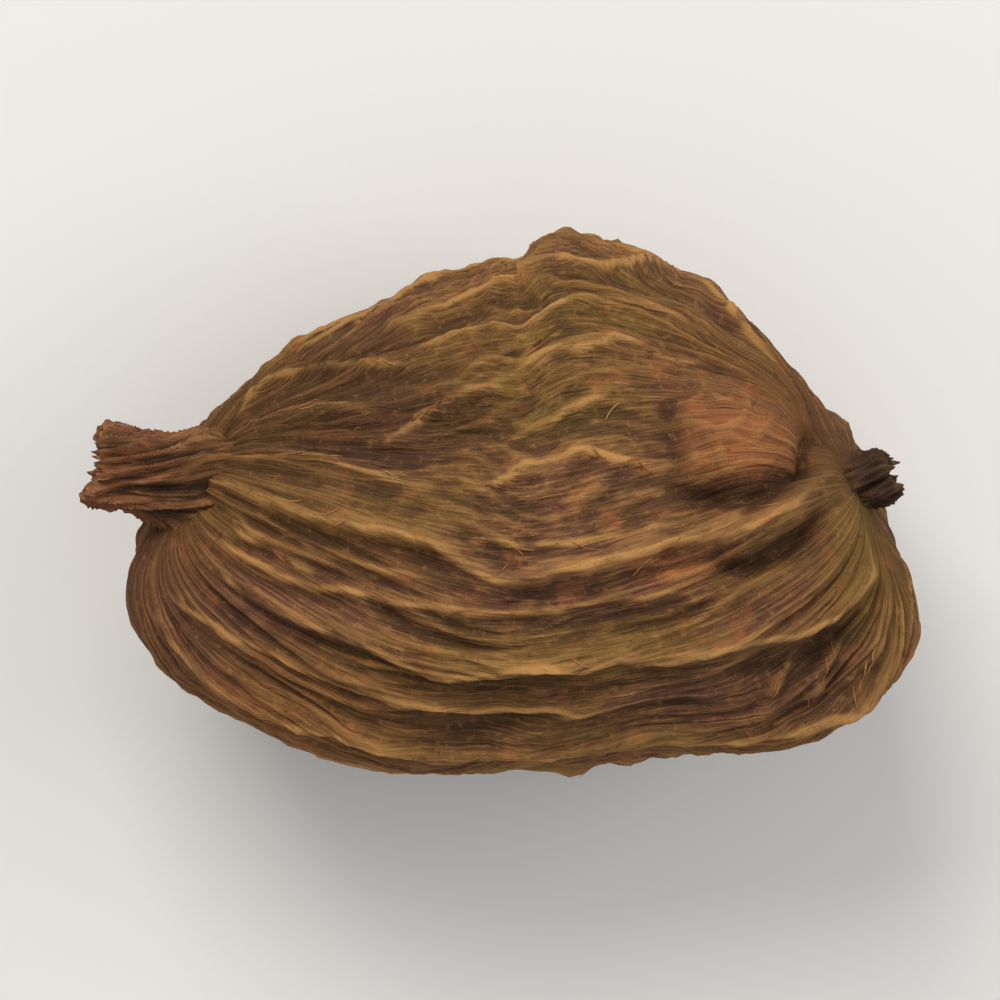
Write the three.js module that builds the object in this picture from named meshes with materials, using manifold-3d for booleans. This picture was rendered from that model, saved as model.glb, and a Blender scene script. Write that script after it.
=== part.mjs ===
// A dried black cardamom pod, lying on its side. The pod is one grown piece: a closed, leathery husk with
// long crests that run from its stalk end to its calyx end, the broken stub of its stalk, and the dry remnant
// of its calyx. It is bent like a boat, with both ends curled up and towards +Y, so its long taut crests lie
// round the keel, and its crumpled face looks up.
//
// Millimetres. +X points from the stalk end to the calyx end, +Y across the pod, +Z up. The origin is in the
// middle of the plan, on the surface that the pod rests on.

import * as THREE from "three";
import { mergeVertices } from "three/addons/utils/BufferGeometryUtils.js";
import Module from "manifold-3d";

// Driving dimensions of the smooth body
const STALK_POLE = { x: -10.6, y: 0.7 };
const CALYX_POLE = { x: 12.1, y: 0.4 };
const CURL_ACROSS = 0.028; // how fast the middle line curves towards +Y, per mm
const CURL_UP = 0.02; // and upwards
const KEEL_LEAN = 1.3; // how far the keel lies towards +Y of the middle line, so that it is under the weight
const END_BLUNTNESS = 0.58; // 1 gives round ends, and less gives blunter ones
const SQUARENESS = 0.92; // 1 gives round sections, and less gives squarer ones

// Half sizes of the section, at even steps of the length from the stalk end to the calyx end
const REACH_PLUS_Y = [7, 9.9, 11.1, 11.2, 12.2, 12.3, 11.3];
const REACH_MINUS_Y = [8.9, 7.4, 6.7, 5.8, 6.1, 8.1, 9.9];
const REACH_UP = [5.2, 6.6, 7.2, 7.4, 7.2, 6.6, 5.7];
const REACH_DOWN = [5.8, 7.1, 7.9, 8.3, 8.3, 7.8, 6.9];

// Where the body's own origin lies in the part's frame. What reaches below z = 0 there is pressed flat.
const PLACE = { x: -0.09, y: -0.02, z: 10.78 };

// Grid of the husk
const ROWS = 36;
const COLUMNS = 156;
const END_CROWDING = 1.35; // above 1, rows crowd towards the ends

// Crests and creases of the upper face, as the plan points [x, y] that each one runs over. side is the width
// of its slope towards +Y, and lee the width of its other slope.
const FACE_LINES = [
  {
    name: "long fold", height: 1.1, side: 0.6, lee: 0.4,
    plan: [
      [-9.8, 0.7], [-7.8, -0.1], [-5.6, -0.8], [-3.2, -1.1], [-1.5, -1.8], [0, -2.6], [2, -2.3],
      [4.1, -1.9], [6.3, -1.3], [8.4, -0.9], [10, -0.1], [10.9, 0.6],
    ],
  },
  {
    name: "fold twin", height: 0.5, side: 0.35, lee: 0.3,
    plan: [[-1.2, -1.3], [0, -1.4], [2, -1.4], [5.2, -1], [7.2, -0.5]],
  },
  {
    name: "upper fan", height: 0.45, side: 0.35, lee: 0.3,
    plan: [[-9.5, 0], [-8, -1.1], [-6.7, -1.8], [-4.3, -2.2], [-1.7, -2.6]],
  },
  {
    name: "inner fan", height: 0.35, side: 0.3, lee: 0.25,
    plan: [[-9.2, -0.5], [-7.9, -1.5], [-6.8, -2.1], [-5.6, -2.5]],
  },
  {
    name: "lower fan", height: 0.5, side: 0.45, lee: 0.35,
    plan: [
      [-10, -0.7], [-8.7, -1.7], [-6.9, -2.6], [-4.3, -3.1], [-0.9, -3.6], [2.4, -3.5], [5.6, -3.1],
      [8, -3.2],
    ],
  },
  {
    name: "upper belly", height: 0.8, side: 0.65, lee: 0.4,
    plan: [
      [-10.2, -1.4], [-8.7, -2.7], [-6.9, -3.6], [-5.2, -4.3], [-3, -5.1], [-1.1, -5.6], [0.4, -5.3],
      [3, -5.2], [5.6, -5.1], [7.8, -4.8], [10, -4.4], [11.7, -3.5], [12.4, -2.3], [12.2, -1],
    ],
  },
  {
    name: "middle belly", height: 0.45, side: 0.5, lee: 0.4,
    plan: [
      [-10.9, -2.8], [-9.1, -4.3], [-6.5, -5.6], [-3.5, -6.5], [-0.4, -6.8], [3, -6.7], [6.5, -6.4],
    ],
  },
  {
    name: "lower belly", height: 0.8, side: 0.7, lee: 0.45,
    plan: [
      [-11.6, -3.2], [-10.2, -5], [-8.5, -6.3], [-6.3, -7.2], [-3.7, -7.8], [-1.1, -8.1], [1.3, -7.9],
      [3.9, -7.8], [6.7, -7.7], [9.1, -7.5], [11.3, -6.8], [12.9, -5.4], [13.6, -3.5], [13.4, -1.4],
    ],
  },
  {
    name: "top brow", height: 0.7, side: 0.6, lee: 0.4,
    plan: [
      [-5.6, 4.6], [-3.5, 5.5], [-1.9, 6.3], [-0.4, 7.1], [1.3, 7.7], [3.5, 7.8], [5.6, 7.6], [7.2, 6.6],
      [8.7, 5.1], [10.4, 3],
    ],
  },
  {
    name: "middle brow", height: 0.4, side: 0.35, lee: 0.3,
    plan: [[-3, 5], [-0.9, 5.7], [1.7, 6.4], [4.5, 6.5], [6.9, 5.5]],
  },
  {
    name: "low brow", height: 0.5, side: 0.4, lee: 0.3,
    plan: [[-0.6, 3.9], [1.3, 4.6], [2.6, 4.9], [4.1, 5.1], [5.9, 4.5], [7.2, 4.4]],
  },
  { name: "cheek", height: 0.5, side: 0.5, lee: 0.35, plan: [[0, 1.9], [1.5, 2.5], [3, 3.3], [4.8, 3.6]] },
  {
    name: "left cheek", height: 0.5, side: 0.4, lee: 0.3,
    plan: [[-4.1, 2.1], [-3, 2.7], [-2.2, 3.3], [-0.9, 3.8], [0.4, 3.9]],
  },
  {
    name: "low cheek", height: 0.5, side: 0.5, lee: 0.35,
    plan: [[-1.1, 0.2], [0.2, 0.7], [1.7, 1.3], [3, 1.7], [4.6, 1.2], [5.8, 0.7]],
  },
  {
    name: "shoulder", height: 0.45, side: 0.4, lee: 0.3,
    plan: [[-9, 2.6], [-7.8, 3.8], [-6.1, 4.4], [-4.3, 4.6], [-2.6, 4.3]],
  },
  {
    name: "low shoulder", height: 0.4, side: 0.4, lee: 0.3,
    plan: [[-9.2, 1.9], [-7.4, 2.9], [-5.2, 3.1], [-3.5, 3]],
  },
  {
    name: "high shoulder", height: 0.45, side: 0.45, lee: 0.35,
    plan: [[-8.4, 4.3], [-6.3, 5.3], [-4.1, 6.1], [-2.4, 6.8]],
  },
  {
    name: "hollow's edge", height: 0.4, side: 0.45, lee: 0.4,
    plan: [[-9.3, 1.2], [-6.5, 1.4], [-4.3, 0.9], [-2.2, 0.2]],
  },
  { name: "outer heel", height: 0.4, side: 0.35, lee: 0.3, plan: [[12.8, -4.2], [12.1, -5.6], [11.5, -7]] },
  {
    name: "middle heel", height: 0.45, side: 0.35, lee: 0.3,
    plan: [[11.5, -4.6], [10.8, -5.9], [10.2, -7.1]],
  },
  { name: "inner heel", height: 0.4, side: 0.35, lee: 0.3, plan: [[10, -5], [9.3, -6.2], [8.7, -7.3]] },
  {
    name: "crease over the fold", height: -1.1, side: 0.5, lee: 0.45,
    plan: [[5.8, 0.3], [7.8, 0.1], [9.3, 0.5], [10.6, 1.3], [11.3, 1.6]],
  },
  {
    name: "crease under the fold", height: -1, side: 0.4, lee: 0.6,
    plan: [[6.9, -1.9], [8.2, -2.1], [9.3, -1.7], [10.4, -0.9], [11.2, -0.2]],
  },
  {
    name: "crease of the heel", height: -0.7, side: 0.6, lee: 0.6,
    plan: [[7.6, -5.7], [9.5, -5.5], [11, -4.9], [12.3, -3.7]],
  },
  {
    name: "crease by the knob", height: -0.45, side: 0.5, lee: 0.5,
    plan: [[5.6, 3.3], [5.8, 1.8], [6.4, 0.6]],
  },
];

// Swellings and hollows of the upper face: where in plan, their reach and their height
const SWELLINGS = [
  { name: "knob", at: [7.4, 2.2], reach: [2, 1.8], height: 1 },
  { name: "left hollow", at: [-4.6, 2], reach: [3.6, 1.6], height: -0.55 },
  { name: "middle hollow", at: [0.6, 2.9], reach: [3.2, 1.6], height: -0.45 },
  { name: "top notch", at: [-1.2, 7.4], reach: [2.5, 1.6], height: -0.3 },
];
const SWELLING_EDGE = 1.3; // power of the fall from a swelling's middle

// The crests of the keel and the back, which no drawn line covers
const KEEL_CRESTS = {
  seed: 11,
  count: 17,
  from: 183, // degrees round the section
  to: 357,
  start: [0.12, 0.5], // radians along, from either end
  lateStart: [0.8, 1.4],
  lateShare: 0.35,
  points: 7,
  jitter: 0.05,
  wander: 0.07,
  height: [0.35, 0.7],
  side: [0.4, 0.7],
  lee: [0.3, 0.45],
};

const CREST_SHARPNESS = 1.35; // power of the fall from a crest
const CREST_TAPER = { share: 0.2, power: 0.7, least: 0.15 }; // a crest grows over this share of its length
const CREST_BLEND = 3; // power by which neighbouring crests merge
const CREST_STEPS = 8; // straight pieces of a crest between two of its stations
const UNDULATION = { height: 0.35, cells: [4.5, 3.2, 3.2] }; // mm
const WRINKLES = { height: 0.26, round: 6.5, along: 3, offset: 19, level: 0.35, calm: 2.2 };
const WANDER = { reach: 0.12, round: 3, along: 4, offset: 7.3 }; // how the wrinkles stray round the section
const SKIN_LEVEL = 0; // brings the crests' mean height back to the smooth body

// The stalk's stub and the calyx remnant: the middle of the root, the way they point, and their rings, each
// as [distance from the root, radius]. They are grooved along, and torn ragged at the end.
const STUB = {
  root: [-7.4, -0.1, 0.2],
  way: [-1, 0.22, 0.08],
  sides: 20,
  seed: 21,
  groove: 0.22,
  grooves: 7,
  ragged: 0.4,
  rings: [[0, 1], [1.6, 1.8], [2.8, 2], [3.7, 1.7], [4.6, 1.45], [5.6, 1.38], [6.3, 1.5]],
};
const REMNANT = {
  root: [10.2, 0.1, -0.3],
  way: [1, 0.24, 0.12],
  sides: 16,
  seed: 22,
  groove: 0.16,
  grooves: 5,
  ragged: 0.3,
  rings: [[0, 0.8], [1, 1.15], [1.8, 1.1], [2.6, 0.95], [3.3, 0.85]],
};
const TORN_DEPTH = 1.5; // depth of the hollow in a torn end, in times its raggedness

// Search for the place of a plan point: a coarse grid of trial places, then Newton steps
const SEARCH = {
  rows: 60,
  columns: 80,
  margin: 0.12, // radians kept clear of the poles
  from: -20, // degrees round the section
  to: 200,
  upperFirst: 0.004, // favours the higher of two places that lie over each other
  steps: 12,
  longest: 0.1, // radians moved in one step
  nudge: 1e-4, // radians over which a slope is measured
  poleMargin: 0.05,
};

const NORMAL_STEP = 1e-3; // radians
const NORMAL_MARGIN = 0.02; // radians kept clear of the poles, where the body has no slope
const NOISE_SEED = 5;
const NOISE_GAIN = 1.6; // brings the noise to about -1 to 1
const RIDGE_GAIN = 1.6; // narrows the tops of ridged noise
const WELD = 1e-4; // mm within which two points are one
const HUSK = { color: 0x6e4f36, roughness: 0.85, metalness: 0 };
const DEGREE = Math.PI / 180;

const clamp = THREE.MathUtils.clamp;
const powered = (x, power) => Math.sign(x) * Math.abs(x) ** power;

// Random draws that repeat: each state is 16807 times the last, modulo 2^31 - 1.
class Draws {
  constructor(seed) {
    this.state = seed;
  }

  next() {
    this.state = (this.state * 16807) % 2147483647;
    return this.state / 2147483647;
  }

  between(low, high) {
    return low + (high - low) * this.next();
  }
}

// Catmull-Rom curve through evenly spaced values, read at share 0 to 1.
function curve(values, share) {
  const last = values.length - 1;
  const x = clamp(share, 0, 1) * last;
  const i = Math.min(Math.floor(x), last - 1);
  const f = x - i;
  const b = values[i];
  const c = values[i + 1];
  const a = i > 0 ? values[i - 1] : 2 * b - c;
  const d = i + 2 <= last ? values[i + 2] : 2 * c - b;
  return b + 0.5 * f * (c - a + f * (2 * a - 5 * b + 4 * c - d + f * (3 * (b - c) + d - a)));
}

// Gradient noise on a lattice of seeded directions.
function makeNoise(seed) {
  const draws = new Draws(seed);
  const order = Array.from({ length: 256 }, (_, i) => i);
  for (let i = 255; i > 0; i -= 1) {
    const j = Math.floor(draws.next() * (i + 1));
    [order[i], order[j]] = [order[j], order[i]];
  }
  const ways = order.map(() => {
    const z = draws.between(-1, 1);
    const turn = draws.between(0, 2 * Math.PI);
    const r = Math.sqrt(1 - z * z);
    return [r * Math.cos(turn), r * Math.sin(turn), z];
  });
  const pick = (i) => order[i & 255];
  const ease = (f) => f * f * f * (f * (f * 6 - 15) + 10);
  return (x, y, z) => {
    const [xi, yi, zi] = [x, y, z].map(Math.floor);
    const [fx, fy, fz] = [x - xi, y - yi, z - zi];
    const [u, v, w] = [fx, fy, fz].map(ease);
    let total = 0;
    for (const dx of [0, 1]) {
      for (const dy of [0, 1]) {
        for (const dz of [0, 1]) {
          const way = ways[pick(pick(pick(xi + dx) + yi + dy) + zi + dz)];
          const lean = way[0] * (fx - dx) + way[1] * (fy - dy) + way[2] * (fz - dz);
          total += (dx ? u : 1 - u) * (dy ? v : 1 - v) * (dz ? w : 1 - w) * lean;
        }
      }
    }
    return total * NOISE_GAIN;
  };
}

const noise = makeNoise(NOISE_SEED);

// Two directions square to a way: one as near +Y as it can be, and the other square to both, nearly upward.
function squareTo(ahead) {
  const across = new THREE.Vector3(0, 1, 0).addScaledVector(ahead, -ahead.y).normalize();
  return [across, new THREE.Vector3().crossVectors(ahead, across)];
}

// A point of the smooth body. along runs from 0 at the stalk end to pi at the calyx end. round is the angle
// about the bent middle line: 0 faces +Y, a quarter turn up, half a turn -Y, and three quarters down.
function body(along, round) {
  const share = (1 - Math.cos(along)) / 2;
  const u = 2 * share - 1;
  const half = (CALYX_POLE.x - STALK_POLE.x) / 2;
  const rise = (CALYX_POLE.y - STALK_POLE.y) / 2;
  const sag = half * half * (u * u - 1);
  const middle = new THREE.Vector3(
    (CALYX_POLE.x + STALK_POLE.x) / 2 + half * u,
    (CALYX_POLE.y + STALK_POLE.y) / 2 + rise * u + CURL_ACROSS * sag,
    CURL_UP * sag,
  );
  const slope = 2 * half * u;
  const ahead = new THREE.Vector3(1, CURL_ACROSS * slope + rise / half, CURL_UP * slope).normalize();
  const [across, upward] = squareTo(ahead);
  const fall = Math.max(Math.sin(along), 0) ** END_BLUNTNESS;
  const c = Math.cos(round);
  const s = Math.sin(round);
  const reachY = curve(c > 0 ? REACH_PLUS_Y : REACH_MINUS_Y, share);
  const reachZ = curve(s > 0 ? REACH_UP : REACH_DOWN, share);
  const lean = KEEL_LEAN * Math.max(-s, 0) ** 2;
  return middle
    .addScaledVector(across, fall * (reachY * powered(c, SQUARENESS) + lean))
    .addScaledVector(upward, fall * reachZ * powered(s, SQUARENESS));
}

// The body's outward normal, from small steps along and round it.
function outward(along, round) {
  const at = clamp(along, NORMAL_MARGIN, Math.PI - NORMAL_MARGIN);
  const ahead = body(at + NORMAL_STEP, round).sub(body(at - NORMAL_STEP, round));
  const sideways = body(at, round + NORMAL_STEP).sub(body(at, round - NORMAL_STEP));
  return new THREE.Vector3().crossVectors(sideways, ahead).normalize();
}

// The nearest of a coarse grid of places to a plan point, as [along, round].
function nearestTrial(x, y) {
  let least = Infinity;
  let nearest = [0, 0];
  for (let i = 0; i < SEARCH.rows; i += 1) {
    const along = SEARCH.margin + ((Math.PI - 2 * SEARCH.margin) * i) / (SEARCH.rows - 1);
    for (let j = 0; j < SEARCH.columns; j += 1) {
      const round = (SEARCH.from + ((SEARCH.to - SEARCH.from) * j) / (SEARCH.columns - 1)) * DEGREE;
      const p = body(along, round);
      const gap = (p.x - x) ** 2 + (p.y - y) ** 2 - SEARCH.upperFirst * p.z;
      if (gap < least) {
        least = gap;
        nearest = [along, round];
      }
    }
  }
  return nearest;
}

// Where on the upper face a plan point lies, as [along, round], by Newton steps on the plan distance.
function drop([x, y]) {
  let [along, round] = nearestTrial(x, y);
  for (let n = 0; n < SEARCH.steps; n += 1) {
    const p = body(along, round);
    const byAlong = body(along + SEARCH.nudge, round).sub(p).divideScalar(SEARCH.nudge);
    const byRound = body(along, round + SEARCH.nudge).sub(p).divideScalar(SEARCH.nudge);
    const spread = byAlong.x * byRound.y - byAlong.y * byRound.x;
    const gx = x - p.x;
    const gy = y - p.y;
    const moveAlong = (gx * byRound.y - gy * byRound.x) / spread;
    const moveRound = (byAlong.x * gy - byAlong.y * gx) / spread;
    along += clamp(moveAlong, -SEARCH.longest, SEARCH.longest);
    along = clamp(along, SEARCH.poleMargin, Math.PI - SEARCH.poleMargin);
    round += clamp(moveRound, -SEARCH.longest, SEARCH.longest);
  }
  return [along, round];
}

// The crests of the keel, spread evenly round it with seeded jitter. Some start or stop part way.
function keelLines() {
  const k = KEEL_CRESTS;
  const draws = new Draws(k.seed);
  return Array.from({ length: k.count }, (_, i) => {
    const even = (k.from + ((k.to - k.from) * (i + 0.5)) / k.count) * DEGREE;
    const middle = even + draws.between(-k.jitter, k.jitter);
    let start = draws.between(...k.start);
    let stop = Math.PI - draws.between(...k.start);
    if (draws.next() < k.lateShare) {
      if (draws.next() < 0.5) start = draws.between(...k.lateStart);
      else stop = Math.PI - draws.between(...k.lateStart);
    }
    const stations = Array.from({ length: k.points }, (_, j) => [
      start + ((stop - start) * j) / (k.points - 1),
      middle + draws.between(-k.wander, k.wander),
    ]);
    const height = draws.between(...k.height);
    const side = draws.between(...k.side);
    const lee = draws.between(...k.lee);
    return { height, side, lee, stations };
  });
}

// A line with the path of its points on the body.
function trace(line) {
  const stations = line.stations ?? line.plan.map(drop);
  const alongs = stations.map((station) => station[0]);
  const rounds = stations.map((station) => station[1]);
  const count = (stations.length - 1) * CREST_STEPS;
  const path = Array.from({ length: count + 1 }, (_, i) => {
    const share = i / count;
    return body(curve(alongs, share), curve(rounds, share));
  });
  return { ...line, path };
}

const LINES = [...FACE_LINES, ...keelLines()].map(trace);

// How high a line stands at a point of the body: its height at the nearest place on the line, which falls
// away with the distance, faster on its lee.
function lineHeight(line, point, normal) {
  const stretch = new THREE.Vector3();
  const from = new THREE.Vector3();
  const last = line.path.length - 1;
  let gap = Infinity;
  let side = 0;
  let share = 0;
  for (let i = 0; i < last; i += 1) {
    stretch.subVectors(line.path[i + 1], line.path[i]);
    from.subVectors(point, line.path[i]);
    const part = clamp(from.dot(stretch) / stretch.lengthSq(), 0, 1);
    const reach = from.addScaledVector(stretch, -part).length();
    if (reach < gap) {
      gap = reach;
      side = new THREE.Vector3().crossVectors(stretch, from).dot(normal);
      share = (i + part) / last;
    }
  }
  const width = side > 0 ? line.side : line.lee;
  const grown = Math.min(Math.min(share, 1 - share) / CREST_TAPER.share, 1) ** CREST_TAPER.power;
  const peak = Math.abs(line.height) * (CREST_TAPER.least + (1 - CREST_TAPER.least) * grown);
  return peak * Math.exp(-((gap / width) ** CREST_SHARPNESS));
}

// Sharp-topped noise: 1 along the noise's zero lines, falling to 0 away from them.
const ridged = (value) => (1 - Math.min(Math.abs(value) * RIDGE_GAIN, 1)) ** 2;

// The height of the skin over the smooth body, in mm.
function relief(along, round, point, normal) {
  let crests = 0;
  let creases = 0;
  for (const line of LINES) {
    const raised = lineHeight(line, point, normal) ** CREST_BLEND;
    if (line.height > 0) crests += raised;
    else creases += raised;
  }
  let height = SKIN_LEVEL + crests ** (1 / CREST_BLEND) - creases ** (1 / CREST_BLEND);
  const upper = clamp(normal.z * 2, 0, 1);
  for (const swelling of SWELLINGS) {
    const [x, y] = swelling.at;
    const [reachX, reachY] = swelling.reach;
    const far = ((point.x - x) / reachX) ** 2 + ((point.y - y) / reachY) ** 2;
    height += swelling.height * upper * Math.exp(-(far ** SWELLING_EDGE));
  }
  const [cx, cy, cz] = UNDULATION.cells;
  height += UNDULATION.height * noise(point.x / cx, point.y / cy, point.z / cz);
  const c = Math.cos(round);
  const s = Math.sin(round);
  const share = (1 - Math.cos(along)) / 2;
  const strayed = noise(WANDER.round * c, WANDER.round * s, WANDER.along * share + WANDER.offset);
  const turned = round + WANDER.reach * strayed;
  const wrinkle = ridged(
    noise(
      WRINKLES.round * Math.cos(turned) + WRINKLES.offset,
      WRINKLES.round * Math.sin(turned),
      WRINKLES.along * share,
    ),
  );
  const calm = clamp(Math.sin(along) * WRINKLES.calm, 0, 1);
  return height + WRINKLES.height * calm * (wrinkle - WRINKLES.level);
}

// A point of the body's frame in the part's frame. What would reach below the resting surface is pressed
// flat.
function settle(point) {
  return new THREE.Vector3(point.x + PLACE.x, point.y + PLACE.y, Math.max(point.z + PLACE.z, 0));
}

// A point of the skin in the part's frame.
function skin(along, round) {
  const point = body(along, round);
  const normal = outward(along, round);
  return settle(point.clone().addScaledVector(normal, relief(along, round, point, normal)));
}

// A closed skin over rings of points: a fan at either end, and two triangles to each cell between, parted
// along the cell's shorter diagonal, so that their edges follow the crests.
function closedRings(start, rings, end) {
  const columns = rings[0].length;
  const points = [start, ...rings.flat(), end];
  const last = points.length - 1;
  const at = (row, column) => 1 + row * columns + (column % columns);
  const faces = [];
  for (let j = 0; j < columns; j += 1) {
    faces.push(0, at(0, j + 1), at(0, j));
    for (let i = 0; i + 1 < rings.length; i += 1) {
      const a = at(i, j);
      const b = at(i, j + 1);
      const c = at(i + 1, j + 1);
      const d = at(i + 1, j);
      const alongFirst = points[a].distanceTo(points[c]) < points[b].distanceTo(points[d]);
      if (alongFirst) faces.push(a, b, c, a, c, d);
      else faces.push(a, b, d, b, c, d);
    }
    faces.push(last, at(rings.length - 1, j), at(rings.length - 1, j + 1));
  }
  const geometry = new THREE.BufferGeometry().setFromPoints(points);
  geometry.setIndex(faces);
  return geometry;
}

function meanOf(points) {
  const sum = new THREE.Vector3();
  for (const point of points) sum.add(point);
  return sum.divideScalar(points.length);
}

function huskGeometry() {
  const rings = [];
  for (let i = 1; i < ROWS; i += 1) {
    const near = (i / ROWS) ** END_CROWDING;
    const far = (1 - i / ROWS) ** END_CROWDING;
    const along = (Math.PI * near) / (near + far);
    rings.push(Array.from({ length: COLUMNS }, (_, j) => skin(along, (j / COLUMNS) * 2 * Math.PI)));
  }
  return closedRings(meanOf(rings[0]), rings, meanOf(rings[rings.length - 1]));
}

// A short ragged peg with lengthwise grooves, for the stalk's stub and the calyx remnant.
function pegGeometry({ root, way, sides, seed, groove, grooves, ragged, rings }) {
  const draws = new Draws(seed);
  const start = new THREE.Vector3(...root);
  const ahead = new THREE.Vector3(...way).normalize();
  const [across, upward] = squareTo(ahead);
  const torn = rings.length - 1;
  const made = rings.map(([distance, radius], row) =>
    Array.from({ length: sides }, (_, j) => {
      const turn = (j / sides) * 2 * Math.PI;
      const reach = radius - groove * (0.5 + 0.5 * Math.cos(grooves * turn));
      const tear = row === torn ? draws.between(-ragged, ragged) : 0;
      const point = start.clone().addScaledVector(ahead, distance + tear);
      point.addScaledVector(across, reach * Math.cos(turn));
      point.addScaledVector(upward, reach * Math.sin(turn));
      return settle(point);
    }),
  );
  const pit = start.clone().addScaledVector(ahead, rings[torn][0] - ragged * TORN_DEPTH);
  return closedRings(settle(start), made, settle(pit));
}

// A closed geometry as a solid that can be joined.
function solidOf(wasm, geometry) {
  const merged = mergeVertices(geometry, WELD);
  const mesh = new wasm.Mesh({
    numProp: 3,
    vertProperties: new Float32Array(merged.attributes.position.array),
    triVerts: new Uint32Array(merged.index.array),
  });
  return new wasm.Manifold(mesh);
}

function geometryOf(solid) {
  const { vertProperties, triVerts } = solid.getMesh();
  const geometry = new THREE.BufferGeometry();
  geometry.setAttribute("position", new THREE.BufferAttribute(vertProperties, 3));
  geometry.setIndex(new THREE.BufferAttribute(triVerts, 1));
  geometry.computeVertexNormals();
  return geometry;
}

const wasm = await Module();
wasm.setup();

const grown = [huskGeometry(), pegGeometry(STUB), pegGeometry(REMNANT)]
  .map((geometry) => solidOf(wasm, geometry))
  .reduce((joined, solid) => joined.add(solid));

const pod = new THREE.Mesh(geometryOf(grown), new THREE.MeshStandardMaterial(HUSK));
pod.name = "pod";

const part = new THREE.Group();
part.add(pod);

export default part;
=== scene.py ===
"""The finished surface of a dried black cardamom pod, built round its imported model.

Lengths in the functions are in millimetres until a mesh is made, and angles are in radians. The frame is the
model's: +X from the stalk end to the calyx end, +Y across the pod, +Z up from the surface that it lies on.
"""

import math

import bpy
import numpy as np
from bpy.props import FloatProperty, FloatVectorProperty, IntProperty, PointerProperty
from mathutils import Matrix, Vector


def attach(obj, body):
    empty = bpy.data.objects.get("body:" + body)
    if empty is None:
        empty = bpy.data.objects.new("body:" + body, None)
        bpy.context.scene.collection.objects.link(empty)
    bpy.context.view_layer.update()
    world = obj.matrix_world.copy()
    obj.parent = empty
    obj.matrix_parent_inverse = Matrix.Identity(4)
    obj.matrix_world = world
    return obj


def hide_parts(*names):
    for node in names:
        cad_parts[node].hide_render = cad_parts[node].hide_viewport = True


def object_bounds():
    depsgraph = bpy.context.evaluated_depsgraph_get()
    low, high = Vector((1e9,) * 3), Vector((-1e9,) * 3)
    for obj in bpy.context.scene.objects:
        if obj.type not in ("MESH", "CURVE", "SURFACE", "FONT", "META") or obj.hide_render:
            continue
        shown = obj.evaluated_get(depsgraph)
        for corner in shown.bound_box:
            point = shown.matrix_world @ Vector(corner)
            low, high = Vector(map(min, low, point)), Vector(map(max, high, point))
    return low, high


bl_info = {
    "name": "Dried Black Cardamom Pod",
    "version": (1, 0, 0),
    "blender": (4, 5, 0),
    "location": "View3D > Sidebar > Pod",
    "description": "Builds a dried pod's husk, its stalk stub, its calyx remnant and its loose fibres",
    "category": "Add Mesh",
}

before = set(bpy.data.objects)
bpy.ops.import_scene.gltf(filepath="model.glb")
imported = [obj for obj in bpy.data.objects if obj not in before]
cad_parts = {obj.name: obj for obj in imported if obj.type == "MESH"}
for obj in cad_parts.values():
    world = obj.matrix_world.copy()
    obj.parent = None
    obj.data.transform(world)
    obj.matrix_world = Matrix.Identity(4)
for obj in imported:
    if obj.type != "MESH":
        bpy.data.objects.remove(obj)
CAD_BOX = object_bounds()
MIDDLE = (CAD_BOX[0] + CAD_BOX[1]) / 2
METRE = 1000.0  # millimetres

# The smooth body, as the model has it
STALK_POLE = (-10.6, 0.7)  # the ends of the middle line, in plan
CALYX_POLE = (12.1, 0.4)
CURL_ACROSS = 0.028  # sag of the middle line away from +Y, against the square of its half length
CURL_UP = 0.02  # the same downwards, so that both ends curl up
KEEL_LEAN = 1.3  # how far the bottom of the keel leans towards +Y
END_BLUNTNESS = 0.58  # power of the sine that closes the ends
SQUARENESS = 0.92  # power of the section's cosine and sine
REACH_PLUS_Y = (7, 9.9, 11.1, 11.2, 12.2, 12.3, 11.3)  # half sizes at even stations from the stalk end
REACH_MINUS_Y = (8.9, 7.4, 6.7, 5.8, 6.1, 8.1, 9.9)
REACH_UP = (5.2, 6.6, 7.2, 7.4, 7.2, 6.6, 5.7)
REACH_DOWN = (5.8, 7.1, 7.9, 8.3, 8.3, 7.8, 6.9)
PLACE = np.array((-0.09, -0.02, 10.78))  # from the body's own frame to the model's

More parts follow.
